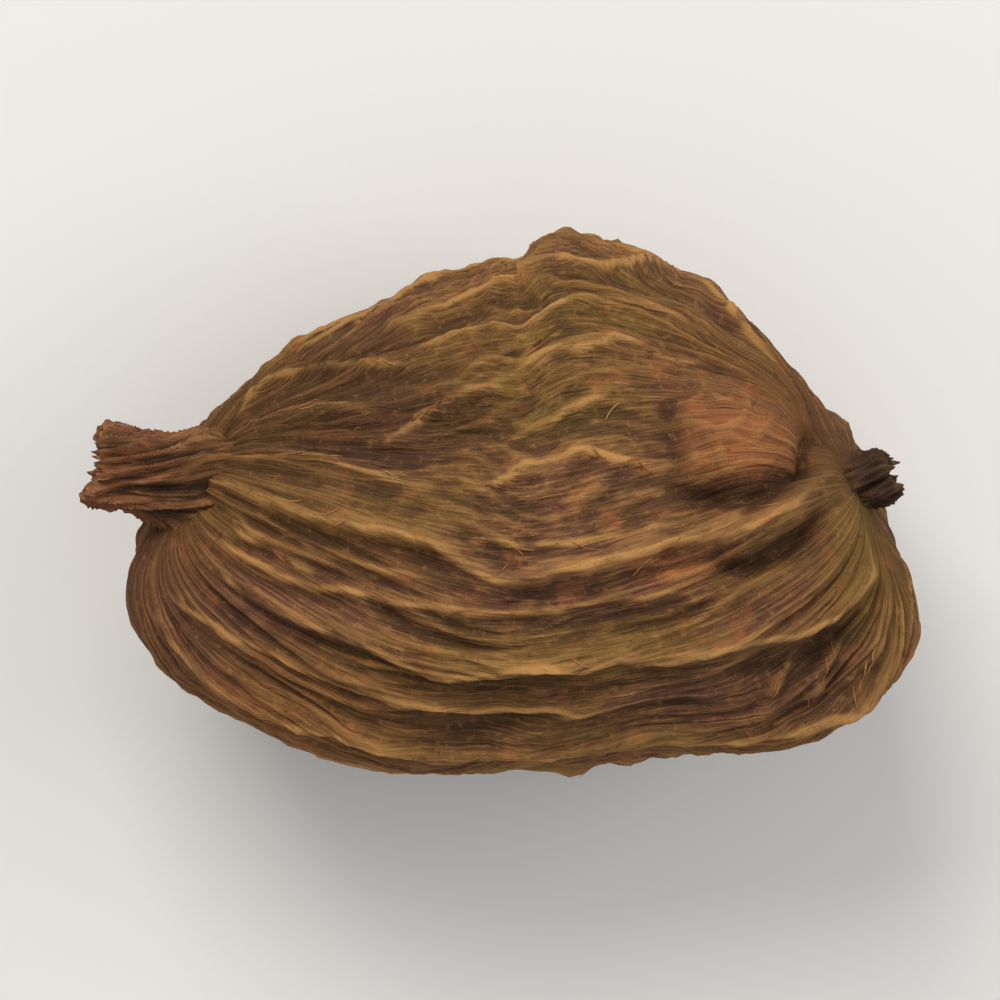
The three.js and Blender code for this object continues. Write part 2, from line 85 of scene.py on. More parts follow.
# The crests and creases of the face: height, widths of the slope and of the lee, and plan points
FACE_LINES = {  # the slope is on the left of a line as it runs, and a crease has a height below zero
    "long fold": (1.1, 0.6, 0.4, (
        (-9.8, 0.7), (-7.8, -0.1), (-5.6, -0.8), (-3.2, -1.1), (-1.5, -1.8), (0, -2.6), (2, -2.3),
        (4.1, -1.9), (6.3, -1.3), (8.4, -0.9), (10, -0.1), (10.9, 0.6))),
    "fold twin": (0.5, 0.35, 0.3, ((-1.2, -1.3), (0, -1.4), (2, -1.4), (5.2, -1), (7.2, -0.5))),
    "upper fan": (0.45, 0.35, 0.3, ((-9.5, 0), (-8, -1.1), (-6.7, -1.8), (-4.3, -2.2), (-1.7, -2.6))),
    "inner fan": (0.35, 0.3, 0.25, ((-9.2, -0.5), (-7.9, -1.5), (-6.8, -2.1), (-5.6, -2.5))),
    "lower fan": (0.5, 0.45, 0.35, (
        (-10, -0.7), (-8.7, -1.7), (-6.9, -2.6), (-4.3, -3.1), (-0.9, -3.6), (2.4, -3.5), (5.6, -3.1),
        (8, -3.2))),
    "upper belly": (0.8, 0.65, 0.4, (
        (-10.2, -1.4), (-8.7, -2.7), (-6.9, -3.6), (-5.2, -4.3), (-3, -5.1), (-1.1, -5.6), (0.4, -5.3),
        (3, -5.2), (5.6, -5.1), (7.8, -4.8), (10, -4.4), (11.7, -3.5), (12.4, -2.3), (12.2, -1))),
    "middle belly": (0.45, 0.5, 0.4, (
        (-10.9, -2.8), (-9.1, -4.3), (-6.5, -5.6), (-3.5, -6.5), (-0.4, -6.8), (3, -6.7), (6.5, -6.4))),
    "lower belly": (0.8, 0.7, 0.45, (
        (-11.6, -3.2), (-10.2, -5), (-8.5, -6.3), (-6.3, -7.2), (-3.7, -7.8), (-1.1, -8.1), (1.3, -7.9),
        (3.9, -7.8), (6.7, -7.7), (9.1, -7.5), (11.3, -6.8), (12.9, -5.4), (13.6, -3.5), (13.4, -1.4))),
    "top brow": (0.7, 0.6, 0.4, (
        (-5.6, 4.6), (-3.5, 5.5), (-1.9, 6.3), (-0.4, 7.1), (1.3, 7.7), (3.5, 7.8), (5.6, 7.6), (7.2, 6.6),
        (8.7, 5.1), (10.4, 3))),
    "middle brow": (0.4, 0.35, 0.3, ((-3, 5), (-0.9, 5.7), (1.7, 6.4), (4.5, 6.5), (6.9, 5.5))),
    "low brow": (0.5, 0.4, 0.3, ((-0.6, 3.9), (1.3, 4.6), (2.6, 4.9), (4.1, 5.1), (5.9, 4.5), (7.2, 4.4))),
    "cheek": (0.5, 0.5, 0.35, ((0, 1.9), (1.5, 2.5), (3, 3.3), (4.8, 3.6))),
    "left cheek": (0.5, 0.4, 0.3, ((-4.1, 2.1), (-3, 2.7), (-2.2, 3.3), (-0.9, 3.8), (0.4, 3.9))),
    "low cheek": (0.5, 0.5, 0.35, ((-1.1, 0.2), (0.2, 0.7), (1.7, 1.3), (3, 1.7), (4.6, 1.2), (5.8, 0.7))),
    "shoulder": (0.45, 0.4, 0.3, ((-9, 2.6), (-7.8, 3.8), (-6.1, 4.4), (-4.3, 4.6), (-2.6, 4.3))),
    "low shoulder": (0.4, 0.4, 0.3, ((-9.2, 1.9), (-7.4, 2.9), (-5.2, 3.1), (-3.5, 3))),
    "high shoulder": (0.45, 0.45, 0.35, ((-8.4, 4.3), (-6.3, 5.3), (-4.1, 6.1), (-2.4, 6.8))),
    "hollow's edge": (0.4, 0.45, 0.4, ((-9.3, 1.2), (-6.5, 1.4), (-4.3, 0.9), (-2.2, 0.2))),
    "outer heel": (0.4, 0.35, 0.3, ((12.8, -4.2), (12.1, -5.6), (11.5, -7))),
    "middle heel": (0.45, 0.35, 0.3, ((11.5, -4.6), (10.8, -5.9), (10.2, -7.1))),
    "inner heel": (0.4, 0.35, 0.3, ((10, -5), (9.3, -6.2), (8.7, -7.3))),
    "crease over the fold": (-1.1, 0.5, 0.45, (
        (5.8, 0.3), (7.8, 0.1), (9.3, 0.5), (10.6, 1.3), (11.3, 1.6))),
    "crease under the fold": (-1, 0.4, 0.6, (
        (6.9, -1.9), (8.2, -2.1), (9.3, -1.7), (10.4, -0.9), (11.2, -0.2))),
    "crease of the heel": (-0.7, 0.6, 0.6, ((7.6, -5.7), (9.5, -5.5), (11, -4.9), (12.3, -3.7))),
    "crease by the knob": (-0.45, 0.5, 0.5, ((5.6, 3.3), (5.8, 1.8), (6.4, 0.6))),
}

# The crests of the keel, and the ranges of their random draws
KEEL_SEED = 11
KEEL_CRESTS = 17
KEEL_SPAN = (183, 357)  # degrees round the section
KEEL_STATIONS = 7
KEEL_JITTER = 0.05  # how far a crest lies from its even place round the keel
KEEL_WANDER = 0.07  # how far each of its stations lies from that
KEEL_START = (0.12, 0.5)  # angle along the pod from either of its ends
KEEL_LATE_START = (0.8, 1.4)
KEEL_LATE_SHARE = 0.35  # share of the crests that start or stop part way
KEEL_LATE_AT_STALK = 0.5  # share of those that start part way
KEEL_HEIGHT = (0.35, 0.7)
KEEL_SIDE = (0.4, 0.7)
KEEL_LEE = (0.3, 0.45)

# How every crest and crease stands on the body
CREST_SHARPNESS = 1.35  # power of its profile
CREST_BLEND = 3  # power by which neighbours merge
CREST_TAPER = {"share": 0.2, "power": 0.7, "least": 0.15}  # how it grows from either end of its line
CREST_STEPS = 8  # points of a line to each stretch between stations
CREST_REACH = 3.0  # past this distance it isn't felt
CREST_UNFELT = 9.0  # the distance that points past that are given
WAVERS = ((0.22, 0.9, 7.1, 0.5), (0.1, 2.6, 3.3, 4.5))  # share of the height, cells to a station, two offsets
MEANDERS = ((0.17, 1.5), (0.06, 0.5))  # how far the crests stray from their lines, and over what length
MEANDER_OFFSETS = ((0, 0, 0), (31, 7, 3), (5, 17, 43))
TORN_CREST = {"line": 0, "at": 0.87, "spread": 0.08, "more": 2.5}  # the long fold, near its end
# The painted highlight along the crest tops, where the husk is also a little less rough
WORN_AND_HIGHLIT_WIDTH = 0.13  # width of the painted highlight on the top of a crest
WORN_AND_HIGHLIT_LEAST = 0.4  # how strong the painted highlight is on the lowest crests
WORN_AND_HIGHLIT_STATIONS = 5  # crests with fewer stations get less of the painted highlight
WORN_AND_HIGHLIT_PATCHES = {"mean": 0.75, "swing": 0.9, "cells": 1.3, "offsets": (5.7, 9.5), "most": 1.3}

# Swellings and hollows of the face: plan place, reach and height
SWELLINGS = {
    "knob": ((7.4, 2.2), (2, 1.8), 1),
    "left hollow": ((-4.6, 2), (3.6, 1.6), -0.55),
    "middle hollow": ((0.6, 2.9), (3.2, 1.6), -0.45),
    "top notch": ((-1.2, 7.4), (2.5, 1.6), -0.3),
}

# Where the face is tinted or given painted shade, with soft edges: plan place, reach and strength of each
# patch
TINTS_AND_SHADE = {
    "rust": (((8.1, 2), (2.3, 1.7), 1.0), ((6.3, -2.2), (1, 0.6), 0.9), ((-7.5, -7.2), (4, 1.6), 0.5)),
    "plum": (
        ((-8, -3.4), (4.2, 2), 0.9), ((2, -3), (5.5, 0.8), 0.7), ((7, -6.7), (3.6, 1.2), 0.9),
        ((2.5, 1.3), (2.6, 1), 0.7)),
    "ochre": (
        ((2.6, 2.7), (2.6, 1.4), 0.8), ((1.5, -5), (7, 1.1), 0.7), ((12.3, -2.2), (1.4, 3), 1.0),
        ((3, 7.3), (5, 1), 0.6), ((-2, 0), (2.5, 1.2), 0.5)),
    # painted shade: dark in the creases by the fold, heel and knob, and over the upper left shoulder
    "shade": (
        ((-5.6, 3.6), (3.8, 3), 0.8), ((10.4, -5.9), (2.6, 1.4), 0.7), ((8.2, 0.4), (3, 0.6), 1.0),
        ((9.4, -1.6), (2.4, 0.7), 0.7), ((5.7, 2.2), (0.5, 1.6), 0.8)),
}
PATCH_EDGE = 1.3  # power that sets how sharply a swelling or a tint ends
PATCH_UPWARD = 2  # a patch fades where the normal's upward part is under 1 over this

# Noise over the skin
NOISE_SEED = 5
NOISE_LATTICE = 256  # directions that the noise draws on, after which it repeats
NOISE_GAIN = 1.6  # brings the noise to about -1 to 1
RIDGE_GAIN = 1.6  # narrows the tops of ridged noise
UNDULATION_HEIGHT = 0.35
UNDULATION_CELLS = np.array((4.5, 3.2, 3.2))  # sizes along X, Y and Z
WRINKLE_LAYERS = {  # cells to a radian round the pod, cells along it, and an offset that sets a layer apart
    "broad": (6.5, 3, 19),
    "wrinkles": (12, 4, 5),
    "threads": (19, 5, 37),
    "fibres": (29, 8, 11),  # as fine as the grid's columns can follow
}
WRINKLE_HEIGHT = 0.26  # of the broad ones, which the model has too
WRINKLE_LEVEL = 0.35  # share of a wrinkle's height that lies under the skin's own level
WRINKLE_STRAY = 0.12  # how far round the pod the wrinkles wander
WANDER = {"round": 3, "along": 4, "offset": 7.3}  # the wandering's own cells, to a radian and along
CALM = 2.2  # how soon the wrinkles rise from nothing at the poles
PUCKER_NOISE = (0.7, (2, 9, 4))  # cell size and offset
GRIT_NOISE = (0.22, (0, 0, 0))
KNOB_NOISE = (1.1, (3, 1, 8))
KNOB_LUMPS = 0.3  # height of the knob's own lumps
KNOB_CALM = 0.75  # share of all the wrinkles that the knob lacks

# How a plan point's place on the face is found: the nearest of a coarse grid, then Newton steps
SEARCH = {
    "rows": 60,
    "columns": 80,
    "margin": 0.12,  # angle from a pole to the grid
    "span": (-20, 200),  # degrees round the section
    "upper first": 0.004,  # how much a higher point counts as nearer
    "steps": 12,
    "longest": 0.1,  # angle that a step moves at most
    "nudge": 1e-4,  # angle over which the slopes are worked out
    "pole": 0.05,  # how near to a pole a step may end
}
NORMAL_STEP = 1e-3
NORMAL_MARGIN = 0.02  # how near to a pole a normal is worked out
CHUNK = 4000  # points whose distances to a line are worked out at once
SHORTEST = 1e-12  # length under which a vector isn't scaled up

# The husk's grid, and the means that its relief is measured against
GRID_ROWS = 150
GRID_COLUMNS = 640
END_CROWDING = 1.35  # power that crowds the rows towards both ends
NEAR_MEAN = (4, 1)  # its reach in columns and in rows, either way
FAR_MEAN = (17, 5)

# The stub and the remnant, with profiles that turn in at the torn end
STUB = {
    "root": (-7.4, -0.1, 0.2), "way": (-1, 0.22, 0.08), "rows": 110, "columns": 180,
    "cells": 3.2, "offset": 13,  # the grooves' cells to a radian round it, and what sets its noise apart
    "distance": (0, 1.6, 2.8, 3.7, 4.6, 5.5, 6.1, 6.3, 6.05, 5.7),  # from the root
    "radius": (1, 1.8, 2, 1.72, 1.5, 1.42, 1.48, 1.3, 0.8, 0.3),
}
REMNANT = {
    "root": (10.2, 0.1, -0.3), "way": (1, 0.24, 0.12), "rows": 90, "columns": 140,
    "cells": 2.2, "offset": 29,
    "distance": (0, 1, 1.8, 2.5, 3, 3.3, 3.1, 2.7),
    "radius": (0.8, 1.15, 1.1, 1, 0.95, 0.8, 0.5, 0.2),
}
PEG_TWIST = 0.25  # how far the grooves turn to a millimetre of length
PEG_GROOVES = ((1, 1, 0.35, 0.8), (0.3, 3, 0.9, 0.5))  # see peg_surface
PEG_THIN = 1  # radius under which the grooves are shallower
PEG_THINNEST = 0.02  # the least radius
PEG_TORN = {"from": 0.45, "gain": 3}  # share of the profile where the tear starts, and how fast it grows
PEG_TEAR = {"cells": 4, "offset": 0.7}  # the tear's coarse ins and outs
PEG_SPLINTERS = {"share": 0.6, "cells": 9, "offset": 2.3}  # its fine ones, and their share of the coarse ones
PEG_GRAIN = 6  # millimetres to a unit of the pattern along it
PEG_ROOT = (0.78, 0.3)  # share of a peg's length where the husk's colour ends, and over what share it fades

# The loose fibres, and the ranges of their random draws
SHRED_SEED = 77
SHRED_STEPS = 6  # points along a fibre
SHRED_START = (0.06, 0.9)  # as a share of the crest line that it follows
SHRED_SPAN = (0.4, 1)  # as a share of the longest fibre
SHRED_STATION_GAP = 2.6  # about the length of a crest line to each of its stations
SHRED_BESIDE = 0.03  # how far round the pod a fibre lies from its line
SHRED_BEND = 0.05  # how far its free end turns away from that
SHRED_WIDTH = (0.035, 0.09)
SHRED_ROOT_HEIGHT = 0.015  # above the skin
STRAND_TIP = 0.12  # what a strand's half sine leaves out at either end
STRAND_FLATNESS = 0.45  # its height against its width

# The stage, in metres
FLOOR_REACH = 1.5
FLOOR_ROUGHNESS = 0.9
SKY_COLOUR = (0.98, 0.98, 1.0, 1.0)
KEY_LIGHT = {"place": (-0.08, 0.2, 0.27), "size": 0.18, "colour": (1.0, 0.96, 0.9)}
SIDE_LIGHT = {"place": (0.30, 0.05, 0.22), "size": 0.22, "colour": (0.96, 0.98, 1.0)}
CAMERA_NEAREST = 0.01


class Draws:
    """Random draws that repeat: each state is the last one times a factor, modulo a prime."""

    FACTOR = 16807
    PRIME = 2147483647

    def __init__(self, seed):
        self.state = seed

    def next(self):
        self.state = self.state * self.FACTOR % self.PRIME
        return self.state / self.PRIME

    def between(self, low, high):
        return low + (high - low) * self.next()


def curve(values, share):
    """A Catmull-Rom curve through evenly spaced values, read at share 0 to 1. Each stretch is the cubic
    through its two values, with half the step between a value's neighbours as the slope there."""
    values = np.asarray(values, float)
    last = len(values) - 1
    x = np.clip(share, 0, 1) * last
    i = np.minimum(np.floor(x).astype(int), last - 1)
    f = x - i
    ends = np.concatenate([[2 * values[0] - values[1]], values, [2 * values[-1] - values[-2]]])
    a, b, c, d = ends[i], ends[i + 1], ends[i + 2], ends[i + 3]
    return b + 0.5 * f * (c - a + f * (2 * a - 5 * b + 4 * c - d + f * (3 * (b - c) + d - a)))


def make_noise(seed):
    """Gradient noise: each lattice point has a seeded direction. A place's value is the mean of the eight
    nearest directions' dot products with the way from their points to the place, eased by
    6 f^5 - 15 f^4 + 10 f^3."""
    draws = Draws(seed)
    order = list(range(NOISE_LATTICE))
    for i in range(NOISE_LATTICE - 1, 0, -1):
        j = int(draws.next() * (i + 1))
        order[i], order[j] = order[j], order[i]
    ways = []
    for _ in range(NOISE_LATTICE):
        z = draws.between(-1, 1)
        turn = draws.between(0, 2 * math.pi)
        r = math.sqrt(1 - z * z)
        ways.append((r * math.cos(turn), r * math.sin(turn), z))
    order = np.array(order)
    ways = np.array(ways)

    def noise(x, y, z):
        spot = np.stack(np.broadcast_arrays(x, y, z), -1).astype(float)
        cell = np.floor(spot).astype(int)
        f = spot - cell
        ease = f * f * f * (f * (f * 6 - 15) + 10)
        total = 0.0
        for corner in np.ndindex(2, 2, 2):
            at = cell + corner
            which = order[at[..., 0] % NOISE_LATTICE]
            which = order[(which + at[..., 1]) % NOISE_LATTICE]
            which = order[(which + at[..., 2]) % NOISE_LATTICE]
            lean = np.sum(ways[which] * (f - corner), -1)
            total = total + np.prod(np.where(corner, ease, 1 - ease), -1) * lean
        return total * NOISE_GAIN

    return noise


noise = make_noise(NOISE_SEED)


def noise_at(points, cell, offset=(0, 0, 0)):
    """The noise at points, with cells of one size."""
    x, y, z = np.moveaxis(points / cell + np.array(offset, float), -1, 0)
    return noise(x, y, z)


def ridged(value):
    """Sharp-topped noise: 1 along the noise's zero lines, falling to 0 away from them."""
    return (1 - np.minimum(np.abs(value) * RIDGE_GAIN, 1)) ** 2


def powered(x, power):
    """x to a power, with its sign kept."""
    return np.sign(x) * np.abs(x) ** power


def unit(v):
    """Vectors scaled to length 1."""
    return v / np.maximum(np.linalg.norm(v, axis=-1, keepdims=True), SHORTEST)


def square_to(ahead):
    """Two directions square to a way: one as near +Y as it can be, and the other square to both."""
    across = unit(np.array((0.0, 1.0, 0.0)) - ahead[..., 1:2] * ahead)
    return across, np.cross(ahead, across)


def length_share(along):
    """The share of the pod's length at an angle along it, which is 0 to pi from the stalk end."""
    return (1 - np.cos(along)) / 2


def body(along, turn):
    """The smooth body. Its middle line is a parabola through both poles, and its section is four quarters
    of a superellipse, square to that line. The half sizes follow curves of the length, times the sine of
    along to a power, which closes both ends. along is 0 to pi from the stalk end, and turn is the angle
    from +Y upwards."""
    along, turn = np.broadcast_arrays(along, turn)
    share = length_share(along)
    u = 2 * share - 1
    half = (CALYX_POLE[0] - STALK_POLE[0]) / 2
    rise = (CALYX_POLE[1] - STALK_POLE[1]) / 2
    sag = half * half * (u * u - 1)
    middle = np.stack([
        (CALYX_POLE[0] + STALK_POLE[0]) / 2 + half * u,
        (CALYX_POLE[1] + STALK_POLE[1]) / 2 + rise * u + CURL_ACROSS * sag,
        CURL_UP * sag,
    ], -1)
    slope = 2 * half * u
    ahead = unit(np.stack((np.ones_like(u), CURL_ACROSS * slope + rise / half, CURL_UP * slope), -1))
    across, upward = square_to(ahead)
    fall = np.clip(np.sin(along), 0, 1) ** END_BLUNTNESS
    c = np.cos(turn)
    s = np.sin(turn)
    reach_y = np.where(c > 0, curve(REACH_PLUS_Y, share), curve(REACH_MINUS_Y, share))
    reach_z = np.where(s > 0, curve(REACH_UP, share), curve(REACH_DOWN, share))
    lean = KEEL_LEAN * np.maximum(-s, 0) ** 2
    sideways = fall * (reach_y * powered(c, SQUARENESS) + lean)
    up = fall * reach_z * powered(s, SQUARENESS)
    return middle + across * sideways[..., None] + upward * up[..., None]


def outward(along, turn):
    """The body's outward normal: the cross product of small steps round and along it."""
    at = np.clip(along, NORMAL_MARGIN, math.pi - NORMAL_MARGIN)
    ahead = body(at + NORMAL_STEP, turn) - body(at - NORMAL_STEP, turn)
    sideways = body(at, turn + NORMAL_STEP) - body(at, turn - NORMAL_STEP)
    return unit(np.cross(sideways, ahead))


def drop(plan):
    """Where on the upper face each plan point lies, as (along, turn): the nearest of a coarse grid of
    points, then Newton steps on the plan distance."""
    alongs = np.linspace(SEARCH["margin"], math.pi - SEARCH["margin"], SEARCH["rows"])
    turns = np.radians(np.linspace(*SEARCH["span"], SEARCH["columns"]))
    grid = np.meshgrid(alongs, turns, indexing="ij")
    points = body(*grid)
    target = np.array(plan, float)
    squares = np.sum((points[None, ..., :2] - target[:, None, None, :]) ** 2, -1)
    squares = (squares - SEARCH["upper first"] * points[..., 2]).reshape(len(target), -1)
    nearest = np.argmin(squares, 1)
    along, turn = grid[0].ravel()[nearest], grid[1].ravel()[nearest]
    nudge, longest, pole = SEARCH["nudge"], SEARCH["longest"], SEARCH["pole"]
    for _ in range(SEARCH["steps"]):
        here = body(along, turn)[:, :2]
        by_along = (body(along + nudge, turn)[:, :2] - here) / nudge
        by_turn = (body(along, turn + nudge)[:, :2] - here) / nudge
        gap = target - here
        spread = by_along[:, 0] * by_turn[:, 1] - by_along[:, 1] * by_turn[:, 0]
        move_along = (gap[:, 0] * by_turn[:, 1] - gap[:, 1] * by_turn[:, 0]) / spread
        move_turn = (by_along[:, 0] * gap[:, 1] - by_along[:, 1] * gap[:, 0]) / spread
        along = np.clip(along + np.clip(move_along, -longest, longest), pole, math.pi - pole)
        turn = turn + np.clip(move_turn, -longest, longest)
    return np.stack([along, turn], -1)


def keel_lines():
    """The keel's crests, spread evenly round it with seeded jitter. Some start or stop part way."""
    draws = Draws(KEEL_SEED)
    low, high = np.radians(KEEL_SPAN)
    lines = []
    for i in range(KEEL_CRESTS):
        middle = low + (high - low) * (i + 0.5) / KEEL_CRESTS + draws.between(-KEEL_JITTER, KEEL_JITTER)
        start = draws.between(*KEEL_START)
        stop = math.pi - draws.between(*KEEL_START)
        if draws.next() < KEEL_LATE_SHARE:
            if draws.next() < KEEL_LATE_AT_STALK:
                start = draws.between(*KEEL_LATE_START)
            else:
                stop = math.pi - draws.between(*KEEL_LATE_START)
        last = KEEL_STATIONS - 1
        stations = [
            (start + (stop - start) * j / last, middle + draws.between(-KEEL_WANDER, KEEL_WANDER))
            for j in range(KEEL_STATIONS)
        ]
        height = draws.between(*KEEL_HEIGHT)
        side = draws.between(*KEEL_SIDE)
        lee = draws.between(*KEEL_LEE)
        lines.append((height, side, lee, np.array(stations)))
    return lines


LINES = [(*line[:3], drop(line[3])) for line in FACE_LINES.values()] + keel_lines()


def trace(stations):
    """A line's points on the body, a few to each stretch between its stations."""
    share = np.linspace(0, 1, (len(stations) - 1) * CREST_STEPS + 1)
    return body(curve(stations[:, 0], share), curve(stations[:, 1], share))


def nearest_on(path, points, normals):
    """For each point, its distance to a path, the side of it that it is on, its share of the path's length,
    and the direction across the path to its positive side."""
    gap = np.full(len(points), CREST_UNFELT)
    side = np.ones(len(points))
    share = np.zeros(len(points))
    across = np.zeros((len(points), 3))
    start = path[:-1]
    stretch = path[1:] - start
    inside = np.all((points > path.min(0) - CREST_REACH) & (points < path.max(0) + CREST_REACH), -1)
    near = np.nonzero(inside)[0]
    for chunk in np.array_split(near, max(1, len(near) // CHUNK)):
        way = points[chunk][:, None, :] - start
        at = np.clip(np.sum(way * stretch, -1) / np.sum(stretch * stretch, -1), 0, 1)
        rest = way - at[..., None] * stretch
        squares = np.sum(rest * rest, -1)
        best = np.argmin(squares, 1)
        rows = np.arange(len(chunk))
        to_side = np.cross(normals[chunk], stretch[best])
        gap[chunk] = np.sqrt(squares[rows, best])
        side[chunk] = np.sign(np.sum(to_side * rest[rows, best], -1))
        share[chunk] = (best + at[rows, best]) / len(start)
        across[chunk] = unit(to_side)
    return gap, side, share, across


def patch(points, normals, where, reach):
    """1 at a plan place of the upper face, falling to 0 past its reach: exp(-r^p), where r is the squared
    distance in reaches, on skin that faces up."""
    far = ((points[..., 0] - where[0]) / reach[0]) ** 2 + ((points[..., 1] - where[1]) / reach[1]) ** 2
    return np.clip(normals[..., 2] * PATCH_UPWARD, 0, 1) * np.exp(-(far**PATCH_EDGE))


def tint(points, normals, spots):
    """How strongly the skin is tinted, or given painted shade: the sum of a tint's patches, up to 1."""
    total = sum(most * patch(points, normals, where, reach) for where, reach, most in spots)
    return np.minimum(total, 1)


def wear_and_highlight(number, height, stations, cells):
    """How strongly a crest's top takes its painted highlight and less roughness along it: noise patches,
    times a strength that high and long crests have more of. cells is the way along it in stations."""
    first, second = WORN_AND_HIGHLIT_PATCHES["offsets"]
    patches = noise(cells * WORN_AND_HIGHLIT_PATCHES["cells"], first * number, second)
    patches = np.clip(WORN_AND_HIGHLIT_PATCHES["mean"] + WORN_AND_HIGHLIT_PATCHES["swing"] * patches, 0, WORN_AND_HIGHLIT_PATCHES["most"])
    return patches * min(height + WORN_AND_HIGHLIT_LEAST, 1) * min(len(stations) / WORN_AND_HIGHLIT_STATIONS, 1)


def crest_relief(points, normals, settings):
    """The height of the crests and creases, how far they lean over their lee, and where their tops take a
    painted highlight and less roughness. Each line's profile is exp(-(distance / width) ** power), and
    neighbours merge by a power sum."""
    places = points
    for reach, cell in MEANDERS:
        stray = np.stack([noise_at(points, cell, offset) for offset in MEANDER_OFFSETS], -1)
        places = places + reach * stray
    crests = np.zeros(len(points))
    creases = np.zeros(len(points))
    shift = np.zeros_like(points)
    worn_and_highlit = np.zeros(len(points))
    for number, (height, side, lee, stations) in enumerate(LINES):
        gap, sign, share, across = nearest_on(trace(stations), places, normals)
        cells = share * len(stations)
        waver = sum(
            most * noise(cells * pace, first * number, second) for most, pace, first, second in WAVERS
        )
        if number == TORN_CREST["line"]:
            torn = np.exp(-(((share - TORN_CREST["at"]) / TORN_CREST["spread"]) ** 2))
            waver = waver * (1 + TORN_CREST["more"] * torn)
        width = np.where(sign > 0, side * settings.slope, lee * settings.lee)
        taper = np.minimum(np.minimum(share, 1 - share) / CREST_TAPER["share"], 1) ** CREST_TAPER["power"]
        taper = CREST_TAPER["least"] + (1 - CREST_TAPER["least"]) * taper
        most = height * settings.depth if height > 0 else -height
        rise = most * taper * (1 + waver) * np.exp(-((gap / width) ** CREST_SHARPNESS))
        if height > 0:
            crests += rise**CREST_BLEND
            shift -= across * (rise**2 * settings.overhang)[:, None]
            top = np.exp(-((gap / WORN_AND_HIGHLIT_WIDTH) ** 2)) * taper
            worn_and_highlit = np.maximum(worn_and_highlit, top * wear_and_highlight(number, height, stations, cells))
        else:
            creases += rise**CREST_BLEND
    return crests ** (1 / CREST_BLEND) - creases ** (1 / CREST_BLEND), shift, worn_and_highlit


def skin(along, turn, settings):
    """The husk's skin at places along and round it: its points in the part's frame, its outward directions,
    its height over the smooth body, and where its crests take a painted highlight. Crests and creases stand
    on the body, and ridged noise stretched along the pod adds the finer wrinkles."""
    along, turn = np.broadcast_arrays(along, turn)
    shape = along.shape
    points = body(along, turn)
    normals = outward(along, turn)
    level, shift, worn_and_highlit = crest_relief(points.reshape(-1, 3), normals.reshape(-1, 3), settings)
    height = level.reshape(shape)
    for where, reach, most in SWELLINGS.values():
        height = height + most * patch(points, normals, where, reach)
    height = height + UNDULATION_HEIGHT * noise_at(points, UNDULATION_CELLS)

    length = length_share(along)
    calm = np.clip(np.sin(along) * CALM, 0, 1)
    knob = patch(points, normals, *SWELLINGS["knob"][:2])
    lumps = ridged(noise_at(points, *KNOB_NOISE)) - WRINKLE_LEVEL
    height = height + KNOB_LUMPS * knob * lumps
    calm = calm * (1 - KNOB_CALM * knob)
    x, y = WANDER["round"] * np.cos(turn), WANDER["round"] * np.sin(turn)
    wander = noise(x, y, WANDER["along"] * length + WANDER["offset"])
    turned = turn + WRINKLE_STRAY * wander
    c, s = np.cos(turned), np.sin(turned)
    heights = {
        "broad": WRINKLE_HEIGHT,
        "wrinkles": settings.wrinkles * METRE,
        "threads": settings.threads * METRE,
        "fibres": settings.fibres * METRE,
    }
    for name, (cells_round, cells_along, offset) in WRINKLE_LAYERS.items():
        wrinkle = ridged(noise(cells_round * c + offset, cells_round * s, cells_along * length))
        height = height + heights[name] * calm * (wrinkle - WRINKLE_LEVEL)
    height = height + settings.pucker * METRE * calm * noise_at(points, *PUCKER_NOISE)
    height = height + settings.grit * METRE * calm * noise_at(points, *GRIT_NOISE)

    points = points + normals * height[..., None] + shift.reshape(*shape, 3) + PLACE
    points[..., 2] = np.maximum(points[..., 2], 0)
    return points, normals, height, worn_and_highlit.reshape(shape)


def husk_grid():
    """The husk's places along it, as a column, and round it, as a row. The rows' shares of the way crowd
    towards both ends: r^p / (r^p + (1 - r)^p)."""
    rows = np.arange(1, GRID_ROWS)[:, None] / GRID_ROWS
    near = rows**END_CROWDING
    along = math.pi * near / (near + (1 - rows) ** END_CROWDING)
    turn = np.arange(GRID_COLUMNS)[None, :] * (2 * math.pi / GRID_COLUMNS)
    return along, turn


def blurred(values, reach, axis, wraps):
    """A running mean over reach cells either way along one axis, taken twice."""
    for _ in range(2):
        mode = "wrap" if wraps else "edge"
        pad = [(0, 0)] * values.ndim
        pad[axis] = (reach + 1, reach)
        total = np.cumsum(np.pad(values, pad, mode=mode), axis=axis)
        count = values.shape[axis]
        high = np.take(total, np.arange(2 * reach + 1, 2 * reach + 1 + count), axis=axis)
        low = np.take(total, np.arange(count), axis=axis)
        values = (high - low) / (2 * reach + 1)
    return values


def over_mean(height, reach):
    """How far the skin stands over its surroundings: its height less its running mean, which reaches so
    many columns and rows either way."""
    columns, rows = reach
    return height - blurred(blurred(height, columns, 1, True), rows, 0, False)


